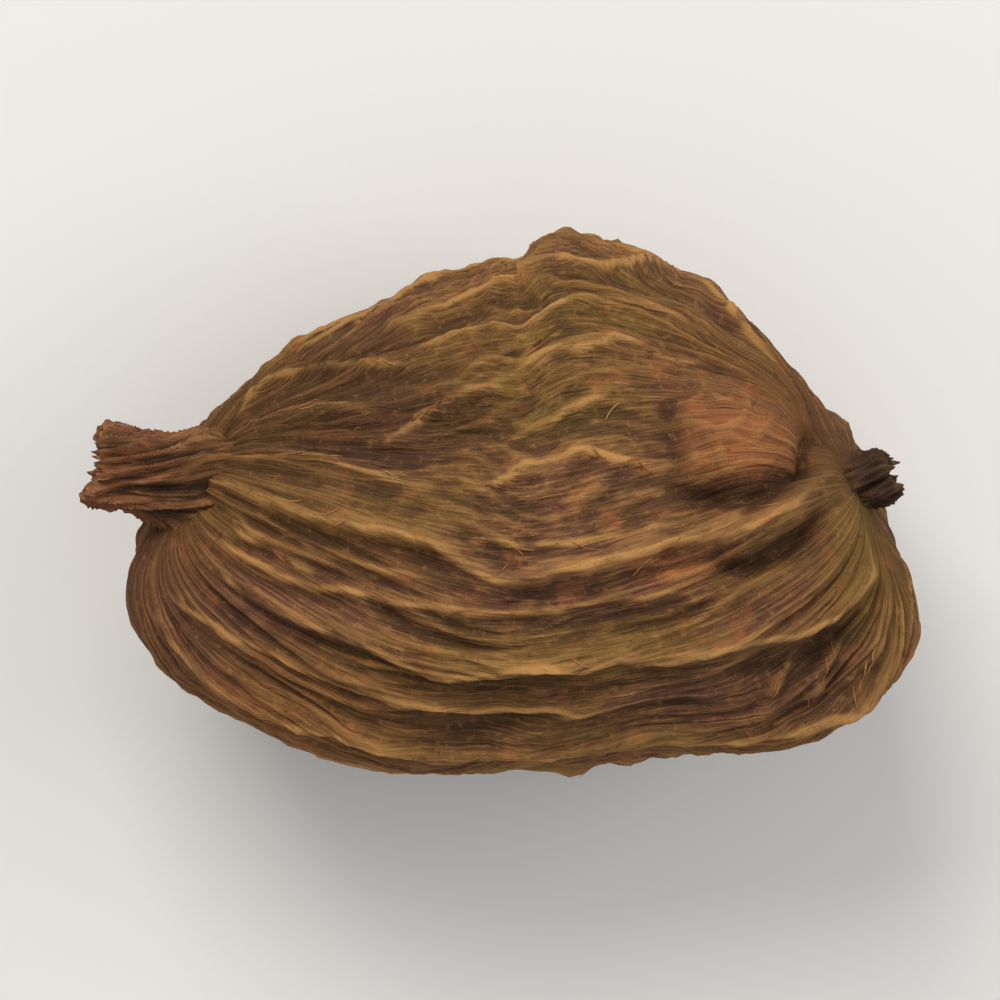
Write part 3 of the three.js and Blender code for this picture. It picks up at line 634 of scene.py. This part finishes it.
def peg_surface(peg, groove, ragged):
    """A short broken peg. Rings of its profile curve are carried along a straight way, grooved by noise
    stretched along it, and the torn end is pushed in and out by noise round it. Each layer of grooves has
    its share of the depth, how many times the peg's cells it has, its cells to a millimetre of length, and
    the level of the noise at the peg's own surface. Gives the points, their masks and their places in the
    grain."""
    share = np.linspace(0, 1, peg["rows"])[:, None]
    turn = np.arange(peg["columns"])[None, :] * (2 * math.pi / peg["columns"])
    ahead = unit(np.array(peg["way"], float))
    across, upward = square_to(ahead)
    distance = curve(peg["distance"], share)
    radius = curve(peg["radius"], share)
    cells, offset = peg["cells"], peg["offset"]
    c, s = np.cos(turn), np.sin(turn)
    twist = turn + PEG_TWIST * distance
    ct, st = np.cos(twist), np.sin(twist)
    height = 0
    for depth, times, pace, level in PEG_GROOVES:
        grooves = ridged(noise(times * cells * ct + offset, times * cells * st, pace * distance))
        height = height + depth * groove * (grooves - level)
    height = np.minimum(radius, PEG_THIN) * height
    torn = np.clip((share - PEG_TORN["from"]) * PEG_TORN["gain"], 0, 1) ** 2
    tear = noise(PEG_TEAR["cells"] * c + offset, PEG_TEAR["cells"] * s, PEG_TEAR["offset"])
    splinter = PEG_SPLINTERS["cells"]
    splinters = noise(splinter * c * radius, splinter * s * radius, PEG_SPLINTERS["offset"] + offset)
    distance = distance + ragged * torn * (tear + PEG_SPLINTERS["share"] * splinters)
    reach = np.maximum(radius + height, PEG_THINNEST)
    sideways = (reach * c)[..., None] * across + (reach * s)[..., None] * upward
    points = np.array(peg["root"]) + distance[..., None] * ahead + sideways + PLACE
    points[..., 2] = np.maximum(points[..., 2], 0)
    grain = np.stack(np.broadcast_arrays(ct, st, distance / PEG_GRAIN), -1)
    root = np.clip((PEG_ROOT[0] - distance / max(peg["distance"])) / PEG_ROOT[1], 0, 1)
    masks = {"relief": height / groove, "torn": np.broadcast_to(torn, height.shape), "root": root}
    return points, masks, grain


def shreds(count, length, lift, settings):
    """Thin fibres that have come away from the crests. Each follows a piece of a crest line, a little above
    the skin and towards the line's middle, and its free end rises by the square of the way along it. Gives
    their paths, directions, widths and tones."""
    draws = Draws(SHRED_SEED)
    crests = [line for line in LINES if line[0] > 0]
    steps = np.linspace(0, 1, SHRED_STEPS)
    along = []
    turn = []
    drawn = []
    for _ in range(count):
        stations = crests[int(draws.next() * len(crests))][3]
        start = draws.between(*SHRED_START)
        span = length * draws.between(*SHRED_SPAN) / (SHRED_STATION_GAP * len(stations))
        share = start + span * steps * (1 if start < 0.5 else -1)
        drift = draws.between(-SHRED_BESIDE, SHRED_BESIDE)
        drift = drift + draws.between(-SHRED_BEND, SHRED_BEND) * steps**2
        along.append(curve(stations[:, 0], share))
        turn.append(curve(stations[:, 1], share) + drift)
        drawn.append((draws.next(), draws.next(), draws.between(*SHRED_WIDTH)))
    rise, tone, width = np.array(drawn).T
    points, normals, _, _ = skin(np.array(along), np.array(turn), settings)
    height = SHRED_ROOT_HEIGHT + lift * rise[:, None] ** 2 * steps**2
    points = points + normals * height[..., None]
    return points, normals, width, tone


def upload(name, vertices, corners, sizes):
    """Makes a smooth mesh from vertices in millimetres, the vertex at each corner, and the number of
    corners of each face."""
    mesh = bpy.data.meshes.new(name)
    mesh.vertices.add(len(vertices))
    mesh.vertices.foreach_set("co", (vertices / METRE).astype(np.float32).ravel())
    mesh.loops.add(len(corners))
    mesh.loops.foreach_set("vertex_index", corners.astype(np.int32))
    mesh.polygons.add(len(sizes))
    mesh.polygons.foreach_set("loop_start", (np.cumsum(sizes) - sizes).astype(np.int32))
    mesh.polygons.foreach_set("use_smooth", np.ones(len(sizes), bool))
    mesh.update(calc_edges=True)
    if mesh.validate():
        raise RuntimeError(f"the mesh {name} has faults")
    return mesh


def ring_mesh(name, points):
    """A closed mesh over rings of points, which wrap round, with a fan of triangles at either end to the
    mean of its last ring."""
    count, columns = points.shape[:2]
    vertices = np.concatenate([points[0].mean(0)[None], points.reshape(-1, 3), points[-1].mean(0)[None]])
    at = 1 + np.arange(count * columns).reshape(count, columns)
    beside = np.roll(at, -1, 1)
    quads = np.stack([at[:-1], beside[:-1], beside[1:], at[1:]], -1).reshape(-1, 4)
    start_fan = np.stack([np.zeros(columns, int), beside[0], at[0]], -1)
    end_fan = np.stack([np.full(columns, len(vertices) - 1), at[-1], beside[-1]], -1)
    corners = np.concatenate([quads.ravel(), start_fan.ravel(), end_fan.ravel()])
    sizes = np.concatenate([np.full(len(quads), 4), np.full(2 * columns, 3)])
    return upload(name, vertices, corners, sizes)


def strand_mesh(name, paths, normals, widths):
    """Many thin closed strands in one mesh. Each carries a flat four-cornered section along its path, as
    wide as its own width times the root of a half sine of the way along."""
    count, steps = paths.shape[:2]
    ahead = unit(np.gradient(paths, axis=1))
    sideways = unit(np.cross(normals, ahead))
    upward = np.cross(ahead, sideways)
    taper = np.sqrt(np.sin(np.linspace(STRAND_TIP, math.pi - STRAND_TIP, steps)))
    half_width = widths[:, None] * taper / 2
    half_height = half_width * STRAND_FLATNESS
    ring = [
        half_width[..., None] * sideways, half_height[..., None] * upward,
        -half_width[..., None] * sideways, -half_height[..., None] * upward,
    ]
    points = paths[:, :, None, :] + np.stack(ring, 2)
    points[..., 2] = np.maximum(points[..., 2], 0)
    at = np.arange(count * steps * 4).reshape(count, steps, 4)
    beside = np.roll(at, -1, 2)
    quads = np.stack([at[:, :-1], beside[:, :-1], beside[:, 1:], at[:, 1:]], -1).reshape(-1, 4)
    caps = np.concatenate([at[:, 0, ::-1], at[:, -1]])
    faces = np.concatenate([quads, caps])
    return upload(name, points.reshape(-1, 3), faces.ravel(), np.full(len(faces), 4))


def add_values(mesh, name, values):
    """Stores a number at every point of a mesh. A ring mesh's two end points take the mean of their rings."""
    values = np.asarray(values, float)
    if values.size < len(mesh.vertices):
        values = np.concatenate([[values[0].mean()], values.ravel(), [values[-1].mean()]])
    attribute = mesh.attributes.new(name, "FLOAT", "POINT")
    attribute.data.foreach_set("value", values.ravel().astype(np.float32))


def add_vectors(mesh, name, values):
    """Stores a vector at every point of a ring mesh. Its two end points take the mean of their rings."""
    stored = np.concatenate([[values[0].mean(0)], values.reshape(-1, 3), [values[-1].mean(0)]])
    attribute = mesh.attributes.new(name, "FLOAT_VECTOR", "POINT")
    attribute.data.foreach_set("vector", stored.astype(np.float32).ravel())


def place(name, mesh, material):
    """Puts a finished mesh in the scene as a piece that rides on the pod and stands for its model."""
    piece = bpy.data.objects.new(name, mesh)
    bpy.context.scene.collection.objects.link(piece)
    mesh.materials.append(material)
    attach(piece, "root")
    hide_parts("pod")


def place_peg(name, peg, settings, material):
    """Builds the stub or the remnant and puts it in the scene."""
    points, masks, grain = peg_surface(peg, settings.groove * METRE, settings.ragged * METRE)
    mesh = ring_mesh(name, points)
    for mask, values in masks.items():
        add_values(mesh, mask, values)
    add_vectors(mesh, "grain", grain)
    place(name, mesh, material)


class Value:
    """A number in a material. Arithmetic on it adds Math nodes."""

    def __init__(self, paint, socket):
        self.paint = paint
        self.socket = socket

    def _math(self, operation, *inputs):
        return self.paint.node("ShaderNodeMath", {"operation": operation}, dict(enumerate(inputs)))

    def __add__(self, other):
        return self._math("ADD", self, other)

    def __radd__(self, other):
        return self._math("ADD", other, self)

    def __sub__(self, other):
        return self._math("SUBTRACT", self, other)

    def __rsub__(self, other):
        return self._math("SUBTRACT", other, self)

    def __mul__(self, other):
        return self._math("MULTIPLY", self, other)

    def __rmul__(self, other):
        return self._math("MULTIPLY", other, self)

    def over(self, low, high):
        """0 at low, 1 at high, and smooth between."""
        settings = {"interpolation_type": "SMOOTHSTEP"}
        inputs = {"Value": self, "From Min": low, "From Max": high}
        return self.paint.node("ShaderNodeMapRange", settings, inputs)


class Paint:
    """A material's node tree, with one method that adds any node."""

    def __init__(self, name):
        self.material = bpy.data.materials.new(name)
        self.material.use_nodes = True
        self.tree = self.material.node_tree
        self.shader = self.tree.nodes["Principled BSDF"]

    def node(self, kind, settings=None, inputs=None, output=0):
        """Adds a node, sets it, fills or links its sockets, and gives one of its outputs."""
        made = self.tree.nodes.new(kind)
        for name, value in (settings or {}).items():
            setattr(made, name, value)
        for name, value in (inputs or {}).items():
            self.feed(made.inputs[name], value)
        return Value(self, made.outputs[output])

    def feed(self, socket, value):
        """Links a value to a socket, or sets the socket. A plain colour is solid."""
        if isinstance(value, Value):
            self.tree.links.new(value.socket, socket)
        elif socket.type == "RGBA":
            socket.default_value = (*value, 1)
        else:
            socket.default_value = value

    def attribute(self, name, output="Fac"):
        return self.node("ShaderNodeAttribute", {"attribute_name": name}, output=output)

    def cloud(self, vector, scale, detail, roughness):
        """Noise with so many cells to a unit of a vector."""
        inputs = {"Vector": vector, "Scale": scale, "Detail": detail, "Roughness": roughness}
        return self.node("ShaderNodeTexNoise", {}, inputs)

    def drawn_out(self, grain, across, along, detail, roughness):
        """Noise stretched along a piece: its cells across the grain are finer than those along it."""
        scaled = self.node("ShaderNodeMapping", {}, {"Vector": grain, "Scale": (across, across, along)})
        return self.cloud(scaled, 1.0, detail, roughness)

    def mix(self, factor, first, second):
        """One colour to another by a factor. The node's colours are its inputs 6 and 7 and its output 2."""
        return self.node("ShaderNodeMix", {"data_type": "RGBA"}, {0: factor, 6: first, 7: second}, 2)

    def coats(self, base, rows):
        """Lays colours over a base, one row after another. A row's colour covers what is under it as its
        mask goes from low to high, up to its strength."""
        for mask, low, high, strength, colour in rows:
            base = self.mix(mask.over(low, high) * strength, base, colour)
        return base

    def finish(self, colour, roughness, bump, strength, distance):
        """Feeds the shader and gives the material. distance is the height of the bumps, in metres."""
        self.feed(self.shader.inputs["Base Color"], colour)
        self.feed(self.shader.inputs["Roughness"], roughness)
        self.feed(self.shader.inputs["Specular IOR Level"], SHEEN)
        inputs = {"Height": bump, "Strength": strength, "Distance": distance}
        self.feed(self.shader.inputs["Normal"], self.node("ShaderNodeBump", {}, inputs))
        return self.material


def linear(red, green, blue):
    """A colour picked on screen, 0 to 255, as the linear colour that a shader takes: x / 12.92 for
    the darkest values, and ((x + 0.055) / 1.055) ** 2.4 for the rest."""
    screen = np.array((red, green, blue)) / 255
    values = np.where(screen <= 0.04045, screen / 12.92, ((screen + 0.055) / 1.055) ** 2.4)
    return tuple(float(value) for value in values)


SHEEN = 0.25  # half a plain surface's reflection, because dry husk is dull
BROWN = linear(106, 72, 35)
OCHRE = linear(122, 94, 40)
PLUM = linear(94, 55, 45)
RUST = linear(162, 96, 55)
UMBER = linear(74, 49, 26)
# DARK is also the painted shade in the husk's creases and shade patches, and in the stalk's grooves
DARK = linear(44, 27, 15)
# NEARLY_BLACK is the painted shade in the calyx remnant's folds
NEARLY_BLACK = linear(24, 16, 11)
# TAN is also the colour of the painted highlights on the husk's crests
TAN = linear(178, 130, 72)


def husk_material(settings):
    """Dry husk: brown, plum, ochre and rust in patches drawn out along the pod, painted highlights in tan on
    the crests, painted shade in the creases and in the shade patches, and fibre streaks in colour and bump."""
    paint = Paint("dry_husk")
    tan = settings.tan
    grain = paint.attribute("grain", "Vector")
    fine = paint.attribute("fine")
    broad = paint.attribute("broad")
    worn_and_highlit = paint.attribute("worn_and_highlit")
    place_in = paint.node("ShaderNodeTexCoord", output="Object")

    patches = paint.drawn_out(grain, 2.2, 3.0, 4.0, 0.55)
    breaks = paint.drawn_out(grain, 9, 4.0, 4.0, 0.6)
    streaks = paint.drawn_out(grain, 26, 4.0, 4.0, 0.65)
    threads = paint.drawn_out(grain, 85, 11.0, 3.0, 0.7)
    hairs = paint.drawn_out(grain, 150, 14.0, 2.0, 0.6)
    blotches = paint.cloud(place_in, 300.0, 4.0, 0.6)
    spots = paint.cloud(place_in, 900.0, 3.0, 0.6)
    dust = paint.cloud(place_in, 2600.0, 3.0, 0.6)
    grit = paint.cloud(place_in, 7000.0, 2.0, 0.6)

    base = paint.coats(settings.brown, (
        (patches, 0.45, 0.6, 0.7, PLUM),
        (patches, 0.42, 0.32, 0.7, OCHRE),
        (blotches, 0.52, 0.68, 0.6, UMBER),
        (blotches, 0.42, 0.3, 0.4, RUST),
    ))
    broken = 0.45 + breaks.over(0.35, 0.6) * 0.6
    for tinted, colour in (("plum", PLUM), ("ochre", OCHRE), ("rust", RUST)):
        base = paint.mix(paint.attribute(tinted) * broken, base, colour)
    base = paint.coats(base, (
        (spots, 0.55, 0.7, 0.5, RUST),
        (spots, 0.42, 0.28, 0.45, OCHRE),
        (streaks, 0.52, 0.72, 0.45, tan),
        (streaks, 0.47, 0.3, 0.45, UMBER),
        (threads, 0.52, 0.68, 0.35, tan),
        (threads, 0.47, 0.32, 0.45, DARK),
        (hairs, 0.54, 0.66, 0.35, tan),
        (hairs, 0.45, 0.34, 0.4, DARK),
    ))
    # Painted highlight in tan on the crests and painted shade in the creases, from the skin's relief
    crest = (broad * 0.8 + fine * 4.0).over(0.12, 0.7)
    crease = (broad * -1.5 + fine * -4.0).over(0.08, 0.7)
    base = paint.mix(crest * (0.05 + threads * 0.45), base, tan)
    base = paint.mix(crease * 0.5, base, DARK)
    # Painted highlight: tan along the tops of the crests, in patches
    base = paint.mix((worn_and_highlit * (0.3 + threads + hairs * 0.6)).over(0.12, 0.8) * 0.9, base, tan)
    # Painted shade: dark in the creases by the fold, heel and knob, and over the upper left shoulder
    base = paint.mix(paint.attribute("shade") * broken * 0.7, base, DARK)
    base = paint.coats(base, (
        (dust, 0.58, 0.7, 0.25, tan),
        (dust, 0.4, 0.28, 0.4, DARK),
        (grit, 0.6, 0.75, 0.2, tan),
        (grit, 0.38, 0.25, 0.35, DARK),
    ))

    roughness = 0.88 - worn_and_highlit * 0.16 - streaks * 0.12
    bump = threads * 0.9 + hairs * 0.4 + dust * 0.5 + grit * 0.3 + streaks * 0.6
    return paint.finish(base, roughness, bump, strength=0.8, distance=0.00015)


def stub_material(settings):
    """Torn stalk: rusty wood fibres with dark streaks and painted shade in the grooves between, paler where
    it broke.
    """
    paint = Paint("torn_stalk")
    pale = settings.pale
    grain = paint.attribute("grain", "Vector")
    torn = paint.attribute("torn")
    place_in = paint.node("ShaderNodeTexCoord", output="Object")
    fibres = paint.drawn_out(grain, 11, 4.0, 4.0, 0.65)
    hairs = paint.drawn_out(grain, 38, 7.0, 3.0, 0.65)
    blotches = paint.cloud(place_in, 620.0, 3.0, 0.6)
    dust = paint.cloud(place_in, 3800.0, 2.0, 0.6)

    base = paint.coats(settings.rust, ((blotches, 0.42, 0.62, 0.6, PLUM),))
    base = paint.mix(paint.attribute("root") * 0.75, base, BROWN)
    base = paint.coats(base, (
        (fibres, 0.5, 0.68, 0.6, pale),
        (fibres, 0.48, 0.32, 0.7, UMBER),
        (hairs, 0.53, 0.68, 0.5, pale),
        (hairs, 0.46, 0.32, 0.6, DARK),
        # Painted shade: darker in the grooves between the fibres, the deeper they are
        (paint.attribute("relief"), -0.35, -0.9, 0.9, DARK),
    ))
    base = paint.mix(torn * fibres.over(0.35, 0.6) * 0.5, base, pale)
    bump = fibres + hairs * 0.8 + dust * 0.4
    return paint.finish(base, 0.92 - fibres * 0.14, bump, strength=0.8, distance=0.00015)


def remnant_material(settings):
    """Withered calyx: nearly black brown, with painted shade in its folds and papery paler edges."""
    paint = Paint("withered_calyx")
    grain = paint.attribute("grain", "Vector")
    torn = paint.attribute("torn")
    place_in = paint.node("ShaderNodeTexCoord", output="Object")
    veins = paint.drawn_out(grain, 9, 5.0, 4.0, 0.65)
    dust = paint.cloud(place_in, 2800.0, 2.0, 0.6)

    base = paint.coats(settings.dark, ((veins, 0.45, 0.68, 0.75, UMBER),))
    base = paint.mix(paint.attribute("root") * 0.6, base, BROWN)
    base = paint.mix(torn * veins.over(0.4, 0.65) * 0.7, base, OCHRE)
    base = paint.coats(base, (
        # Painted shade: nearly black in the remnant's folds, the deeper they are
        (paint.attribute("relief"), -0.45, -0.95, 0.8, NEARLY_BLACK),
        (dust, 0.6, 0.75, 0.2, RUST),
    ))
    return paint.finish(base, 0.86 - veins * 0.12, veins + dust * 0.3, strength=0.6, distance=0.00011)


def shred_material(settings):
    """Loose fibre: from tan to rust, strand by strand."""
    paint = Paint("loose_fibre")
    tone = paint.attribute("tone")
    place_in = paint.node("ShaderNodeTexCoord", output="Object")
    specks = paint.cloud(place_in, 1900.0, 2.0, 0.6)
    base = paint.mix(tone.over(0.35, 0.9), settings.colour, RUST)
    base = paint.coats(base, ((specks, 0.45, 0.7, 0.6, UMBER),))
    return paint.finish(base, 0.85 - specks * 0.1, specks, strength=0.4, distance=0.00004)


def length_setting(name, description, default, least=0.0):
    """A length that a user can change, in metres."""
    return FloatProperty(
        name=name, description=description, default=default, min=least, precision=5, subtype="DISTANCE",
        unit="LENGTH",
    )


def colour_setting(name, description, default):
    """A colour that a user can change."""
    return FloatVectorProperty(name=name, description=description, default=default, size=3, subtype="COLOR")


class PodHuskSettings(bpy.types.PropertyGroup):
    """Sizes and colours of the husk's skin."""

    slope: FloatProperty(
        name="Slope", description="Width of a crest's gentle side, against the model's", default=1, min=0.2
    )
    lee: FloatProperty(
        name="Lee", description="Width of a crest's steep side, against the model's", default=0.8, min=0.2
    )
    depth: FloatProperty(
        name="Depth", description="Height of the crests, against the model's", default=0.85, min=0
    )
    overhang: FloatProperty(
        name="Overhang", description="How far a crest leans over its lee", default=0.09, min=0
    )
    wrinkles: length_setting("Wrinkles", "Height of the middle wrinkles", 0.00015)
    threads: length_setting("Threads", "Height of the long thin lines", 0.00013)
    fibres: length_setting("Fibres", "Height of the finest wrinkles", 0.00005)
    pucker: length_setting("Pucker", "Height of the cross wrinkles", 0.00008)
    grit: length_setting("Grit", "Height of the grain of the skin", 0.00002)
    brown: colour_setting("Brown", "Colour of most of the skin", BROWN)
    # Tan is also the colour of the painted highlights on the crests
    tan: colour_setting("Tan", "Colour of the worn crests", TAN)


class PodStubSettings(bpy.types.PropertyGroup):
    """Sizes and colours of the stalk's stub."""

    groove: length_setting("Groove", "Depth of the grooves between the fibres", 0.0004, least=0.00005)
    ragged: length_setting("Ragged", "How far the break goes in and out", 0.00045)
    rust: colour_setting("Rust", "Colour of the stalk", linear(132, 82, 50))
    pale: colour_setting("Pale", "Colour of the bare fibres", linear(170, 122, 78))


class PodRemnantSettings(bpy.types.PropertyGroup):
    """Sizes and colour of the calyx remnant."""

    groove: length_setting("Groove", "Depth of the folds", 0.0005, least=0.00005)
    ragged: length_setting("Ragged", "How far the torn edge goes in and out", 0.0004)
    dark: colour_setting("Dark", "Colour of the remnant", linear(58, 40, 26))


class PodShredSettings(bpy.types.PropertyGroup):
    """Number, sizes and colour of the loose fibres."""

    count: IntProperty(name="Count", description="Number of loose fibres", default=130, min=1)
    length: length_setting("Length", "Length of the longest fibres", 0.0017, least=0.0002)
    lift: length_setting("Lift", "How far the free ends stand up", 0.00014)
    colour: colour_setting("Colour", "Colour of the palest fibres", linear(158, 114, 66))


class PodStageSettings(bpy.types.PropertyGroup):
    """The floor, the lights and the camera."""

    floor: colour_setting("Floor", "Colour of the floor", linear(226, 225, 221))
    key: FloatProperty(name="Key", description="Power of the main light", default=0.72, min=0, unit="POWER")
    side: FloatProperty(name="Side", description="Power of the side light", default=0.4, min=0, unit="POWER")
    sky: FloatProperty(name="Sky", description="Strength of the light from all round", default=0.55, min=0)
    height: length_setting("Camera height", "Height of the camera", 0.22)
    lens: FloatProperty(name="Lens", description="Focal length in millimetres", default=222, unit="CAMERA")


def add_light(name, lamp, watts):
    """A square soft light that faces the pod."""
    data = bpy.data.lights.new(name, "AREA")
    data.size = lamp["size"]
    data.energy = watts
    data.color = lamp["colour"]
    light = bpy.data.objects.new(name, data)
    light.location = lamp["place"]
    light.rotation_euler = (MIDDLE - light.location).to_track_quat("-Z", "Y").to_euler()
    bpy.context.scene.collection.objects.link(light)


class POD_OT_husk(bpy.types.Operator):
    """Build the wrinkled husk"""

    bl_idname = "pod.husk"
    bl_label = "Husk"

    def execute(self, context):
        settings = context.scene.pod_husk
        along, turn = husk_grid()
        points, normals, height, worn_and_highlit = skin(along, turn, settings)
        mesh = ring_mesh("husk", points)
        # Relief over near and far means, which the material turns into painted highlights and painted shade
        add_values(mesh, "fine", over_mean(height, NEAR_MEAN))
        add_values(mesh, "broad", over_mean(height, FAR_MEAN))
        add_values(mesh, "worn_and_highlit", worn_and_highlit)
        for name, spots in TINTS_AND_SHADE.items():
            add_values(mesh, name, tint(points - PLACE, normals, spots))
        grain = np.broadcast_arrays(np.cos(turn), np.sin(turn), length_share(along))
        add_vectors(mesh, "grain", np.stack(grain, -1))
        place("husk", mesh, husk_material(settings))
        return {"FINISHED"}


class POD_OT_stub(bpy.types.Operator):
    """Build the broken stub of the stalk"""

    bl_idname = "pod.stub"
    bl_label = "Stalk stub"

    def execute(self, context):
        settings = context.scene.pod_stub
        place_peg("stalk_stub", STUB, settings, stub_material(settings))
        return {"FINISHED"}


class POD_OT_remnant(bpy.types.Operator):
    """Build the dry remnant of the calyx"""

    bl_idname = "pod.remnant"
    bl_label = "Calyx remnant"

    def execute(self, context):
        settings = context.scene.pod_remnant
        place_peg("calyx_remnant", REMNANT, settings, remnant_material(settings))
        return {"FINISHED"}


class POD_OT_shreds(bpy.types.Operator):
    """Build the fibres that have come away from the crests"""

    bl_idname = "pod.shreds"
    bl_label = "Loose fibres"

    def execute(self, context):
        settings = context.scene.pod_shreds
        paths, normals, widths, tones = shreds(
            settings.count, settings.length * METRE, settings.lift * METRE, context.scene.pod_husk
        )
        mesh = strand_mesh("loose_fibres", paths, normals, widths)
        add_values(mesh, "tone", np.repeat(tones, len(mesh.vertices) // len(tones)))
        place("loose_fibres", mesh, shred_material(settings))
        return {"FINISHED"}


class POD_OT_stage(bpy.types.Operator):
    """Add the floor, the lights and the camera"""

    bl_idname = "pod.stage"
    bl_label = "Stage"

    def execute(self, context):
        settings = context.scene.pod_stage
        corners = [(x * FLOOR_REACH, y * FLOOR_REACH, 0) for x, y in ((-1, -1), (1, -1), (1, 1), (-1, 1))]
        mesh = bpy.data.meshes.new("floor")
        mesh.from_pydata(corners, [], [(0, 1, 2, 3)])
        paint = Paint("pale_floor")
        paint.feed(paint.shader.inputs["Base Color"], settings.floor)
        paint.feed(paint.shader.inputs["Roughness"], FLOOR_ROUGHNESS)
        mesh.materials.append(paint.material)
        floor = bpy.data.objects.new("floor", mesh)
        context.scene.collection.objects.link(floor)

        world = bpy.data.worlds.new("studio")
        world.use_nodes = True
        sky = world.node_tree.nodes["Background"]
        sky.inputs["Color"].default_value = SKY_COLOUR
        sky.inputs["Strength"].default_value = settings.sky
        context.scene.world = world
        add_light("key", KEY_LIGHT, settings.key)
        add_light("side", SIDE_LIGHT, settings.side)

        camera = bpy.data.objects.new("camera", bpy.data.cameras.new("camera"))
        context.scene.collection.objects.link(camera)
        camera.location = (MIDDLE.x, MIDDLE.y, settings.height)
        camera.data.lens = settings.lens
        camera.data.clip_start = CAMERA_NEAREST
        context.scene.camera = camera
        context.scene.view_settings.view_transform = "Standard"
        return {"FINISHED"}


class POD_PT_panel(bpy.types.Panel):
    """The pod's pieces and their sizes"""

    bl_idname = "POD_PT_panel"
    bl_label = "Pod"
    bl_space_type = "VIEW_3D"
    bl_region_type = "UI"
    bl_category = "Pod"

    def draw(self, context):
        for operator, group in PIECES:
            box = self.layout.box()
            settings = getattr(context.scene, group)
            for name in type(settings).__annotations__:
                box.prop(settings, name)
            box.operator(operator.bl_idname)


PIECES = (
    (POD_OT_husk, "pod_husk"),
    (POD_OT_stub, "pod_stub"),
    (POD_OT_remnant, "pod_remnant"),
    (POD_OT_shreds, "pod_shreds"),
    (POD_OT_stage, "pod_stage"),
)
GROUPS = {
    "pod_husk": PodHuskSettings,
    "pod_stub": PodStubSettings,
    "pod_remnant": PodRemnantSettings,
    "pod_shreds": PodShredSettings,
    "pod_stage": PodStageSettings,
}
CLASSES = (*GROUPS.values(), *(operator for operator, _ in PIECES), POD_PT_panel)


def register():
    for made in CLASSES:
        bpy.utils.register_class(made)
    for name, group in GROUPS.items():
        setattr(bpy.types.Scene, name, PointerProperty(type=group))


def unregister():
    for name in GROUPS:
        delattr(bpy.types.Scene, name)
    for made in reversed(CLASSES):
        bpy.utils.unregister_class(made)


def main():
    register()
    bpy.ops.pod.husk()
    bpy.ops.pod.stub()
    bpy.ops.pod.remnant()
    bpy.ops.pod.shreds()
    bpy.ops.pod.stage()


if __name__ == "__main__":
    main()
